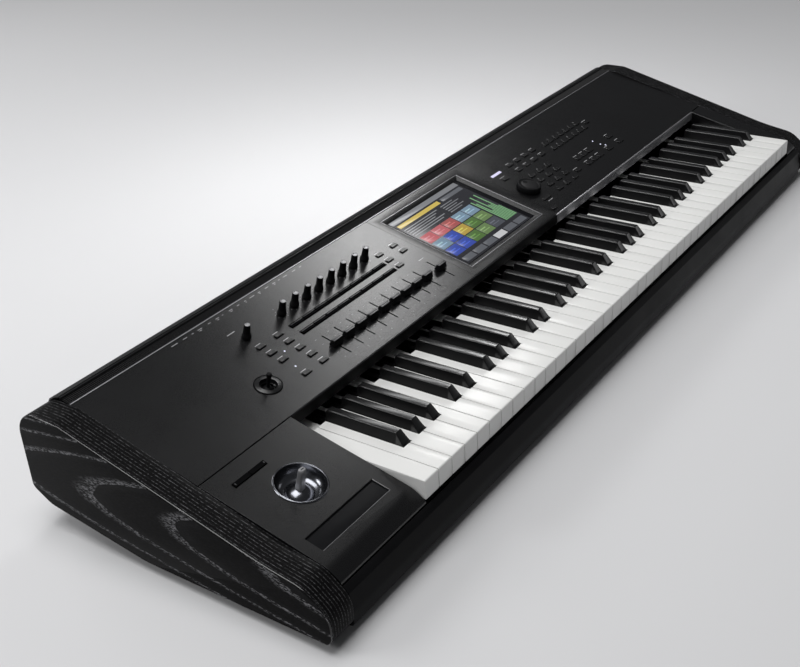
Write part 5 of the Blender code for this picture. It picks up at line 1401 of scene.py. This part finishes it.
def build_stage():
    """Camera, floor, pale room and soft boxes."""
    scene = bpy.context.scene
    settings = scene.workstation_stage
    scene.view_settings.view_transform = "Standard"
    aim_camera(settings)
    lay_floor(settings)
    scene.world = bpy.data.worlds.new("room")
    scene.world.use_nodes = True
    room = scene.world.node_tree.nodes["Background"]
    room.inputs["Color"].default_value = (0.95, 0.97, 1.0, 1.0)
    room.inputs["Strength"].default_value = settings.sky
    soft_box("panel_soft_box", (0.72, 0.43, 0.88), (-0.13, 0.09, 0.12), 0.22, 0.24, settings.glow_power)
    soft_box("slope_soft_box", (0.42, 0.28, 0.98), (-0.30, 0.03, 0.11), 0.14, 0.30, settings.slope_power)
    soft_box("key_soft_box", (0.26, 0.42, 0.50), (0.26, 0.42, 0.0), 0.36, 0.26, settings.gloss_power)
    soft_box("rear_soft_box", (0.0, 2.60, 1.50), (0.0, 0.0, 0.05), 1.6, 1.0, settings.rear_power)
    soft_box("upper_soft_box", (-0.80, 0.30, 3.40), (0.0, 0.0, 0.05), 2.4, 2.4, settings.upper_power)
    soft_box("front_soft_box", (2.40, -1.50, 1.10), (0.0, 0.0, 0.08), 0.9, 0.7, settings.front_power)
    soft_box("rim_soft_box", (-1.75, 1.35, 1.20), (-0.55, 0.0, 0.10), 0.8, 0.5, settings.rim_power)


def built(*builders):
    """Run the builders in order and report that they finished."""
    for builder in builders:
        builder()
    return {"FINISHED"}


class WORKSTATION_OT_keyboard(bpy.types.Operator):
    """Build the keybed, its fixed keys and the octave that moves"""
    bl_idname = "workstation.keyboard"
    bl_label = "Keyboard"

    def execute(self, context):
        return built(build_keyboard)


class WORKSTATION_OT_wood_ends(bpy.types.Operator):
    """Build both wooden ends"""
    bl_idname = "workstation.wood_ends"
    bl_label = "Wooden ends"

    def execute(self, context):
        return built(build_wood_ends)


class WORKSTATION_OT_case(bpy.types.Operator):
    """Build the front rail, the lip and the blocks beside the keys"""
    bl_idname = "workstation.case"
    bl_label = "Case"

    def execute(self, context):
        return built(build_case)


class WORKSTATION_OT_panels(bpy.types.Operator):
    """Build the rear strip and the black frames of painted gap shade round the rows of bars"""
    bl_idname = "workstation.panels"
    bl_label = "Panels"

    def execute(self, context):
        return built(build_panels)


class WORKSTATION_OT_screen(bpy.types.Operator):
    """Build the bezel, its rim and the lit picture"""
    bl_idname = "workstation.screen"
    bl_label = "Screen"

    def execute(self, context):
        return built(build_screen)


class WORKSTATION_OT_knobs(bpy.types.Operator):
    """Build the volume knob and the channel knobs"""
    bl_idname = "workstation.knobs"
    bl_label = "Knobs"

    def execute(self, context):
        return built(build_knobs)


class WORKSTATION_OT_dial(bpy.types.Operator):
    """Build the value dial"""
    bl_idname = "workstation.dial"
    bl_label = "Value dial"

    def execute(self, context):
        return built(build_dial)


class WORKSTATION_OT_faders(bpy.types.Operator):
    """Build the fader caps"""
    bl_idname = "workstation.faders"
    bl_label = "Faders"

    def execute(self, context):
        return built(build_faders)


class WORKSTATION_OT_buttons(bpy.types.Operator):
    """Build the control board with its buttons, and the lamps"""
    bl_idname = "workstation.buttons"
    bl_label = "Buttons and lamps"

    def execute(self, context):
        return built(build_buttons, build_lamps)


class WORKSTATION_OT_marks(bpy.types.Operator):
    """Print the marks on the panel"""
    bl_idname = "workstation.marks"
    bl_label = "Printed marks"

    def execute(self, context):
        return built(build_marks)


class WORKSTATION_OT_joysticks(bpy.types.Operator):
    """Build both joysticks"""
    bl_idname = "workstation.joysticks"
    bl_label = "Joysticks"

    def execute(self, context):
        return built(build_main_joystick, build_vector_joystick)


class WORKSTATION_OT_switches(bpy.types.Operator):
    """Build the assignable switches, the ribbon film, its rims of painted highlight and its painted shadow"""
    bl_idname = "workstation.switches"
    bl_label = "Switches and ribbon"

    def execute(self, context):
        return built(build_switches)


class WORKSTATION_OT_fittings(bpy.types.Operator):
    """Build the rear sockets' fittings, the screws and the feet's rims"""
    bl_idname = "workstation.fittings"
    bl_label = "Rear and underside fittings"

    def execute(self, context):
        return built(build_rear, build_underside)


class WORKSTATION_OT_finishes(bpy.types.Operator):
    """Give the nodes that stay their finishes"""
    bl_idname = "workstation.finishes"
    bl_label = "Finishes"

    def execute(self, context):
        return built(finish_nodes)


class WORKSTATION_OT_stage(bpy.types.Operator):
    """Set up the camera, the floor and the lamps"""
    bl_idname = "workstation.stage"
    bl_label = "Stage"

    def execute(self, context):
        return built(build_stage)


OPERATORS = (
    WORKSTATION_OT_keyboard, WORKSTATION_OT_wood_ends, WORKSTATION_OT_case, WORKSTATION_OT_panels,
    WORKSTATION_OT_screen, WORKSTATION_OT_knobs, WORKSTATION_OT_dial, WORKSTATION_OT_faders,
    WORKSTATION_OT_buttons, WORKSTATION_OT_marks, WORKSTATION_OT_joysticks, WORKSTATION_OT_switches,
    WORKSTATION_OT_fittings, WORKSTATION_OT_finishes, WORKSTATION_OT_stage,
)


class WORKSTATION_PT_sidebar(bpy.types.Panel):
    """Lists the builders and their settings in the sidebar"""
    bl_idname = "WORKSTATION_PT_sidebar"
    bl_label = "Music workstation"
    bl_space_type = "VIEW_3D"
    bl_region_type = "UI"
    bl_category = "Workstation"

    def draw(self, context):
        layout = self.layout
        for operator in OPERATORS:
            layout.operator(operator.bl_idname)
        scene = context.scene
        for settings in (scene.workstation_sizes, scene.workstation_colours, scene.workstation_stage):
            box = layout.box()
            for name in settings.__annotations__:
                box.prop(settings, name)


CLASSES = (WorkstationSizes, WorkstationColours, WorkstationStage, *OPERATORS, WORKSTATION_PT_sidebar)


def register():
    """Register the classes and the scene's settings."""
    for item in CLASSES:
        bpy.utils.register_class(item)
    bpy.types.Scene.workstation_sizes = bpy.props.PointerProperty(type=WorkstationSizes)
    bpy.types.Scene.workstation_colours = bpy.props.PointerProperty(type=WorkstationColours)
    bpy.types.Scene.workstation_stage = bpy.props.PointerProperty(type=WorkstationStage)


def unregister():
    """Remove the scene's settings and the classes."""
    del bpy.types.Scene.workstation_stage
    del bpy.types.Scene.workstation_colours
    del bpy.types.Scene.workstation_sizes
    for item in reversed(CLASSES):
        bpy.utils.unregister_class(item)


def main():
    """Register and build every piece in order."""
    register()
    for operator in OPERATORS:
        group, name = operator.bl_idname.split(".")
        getattr(getattr(bpy.ops, group), name)()


if __name__ == "__main__":
    main()
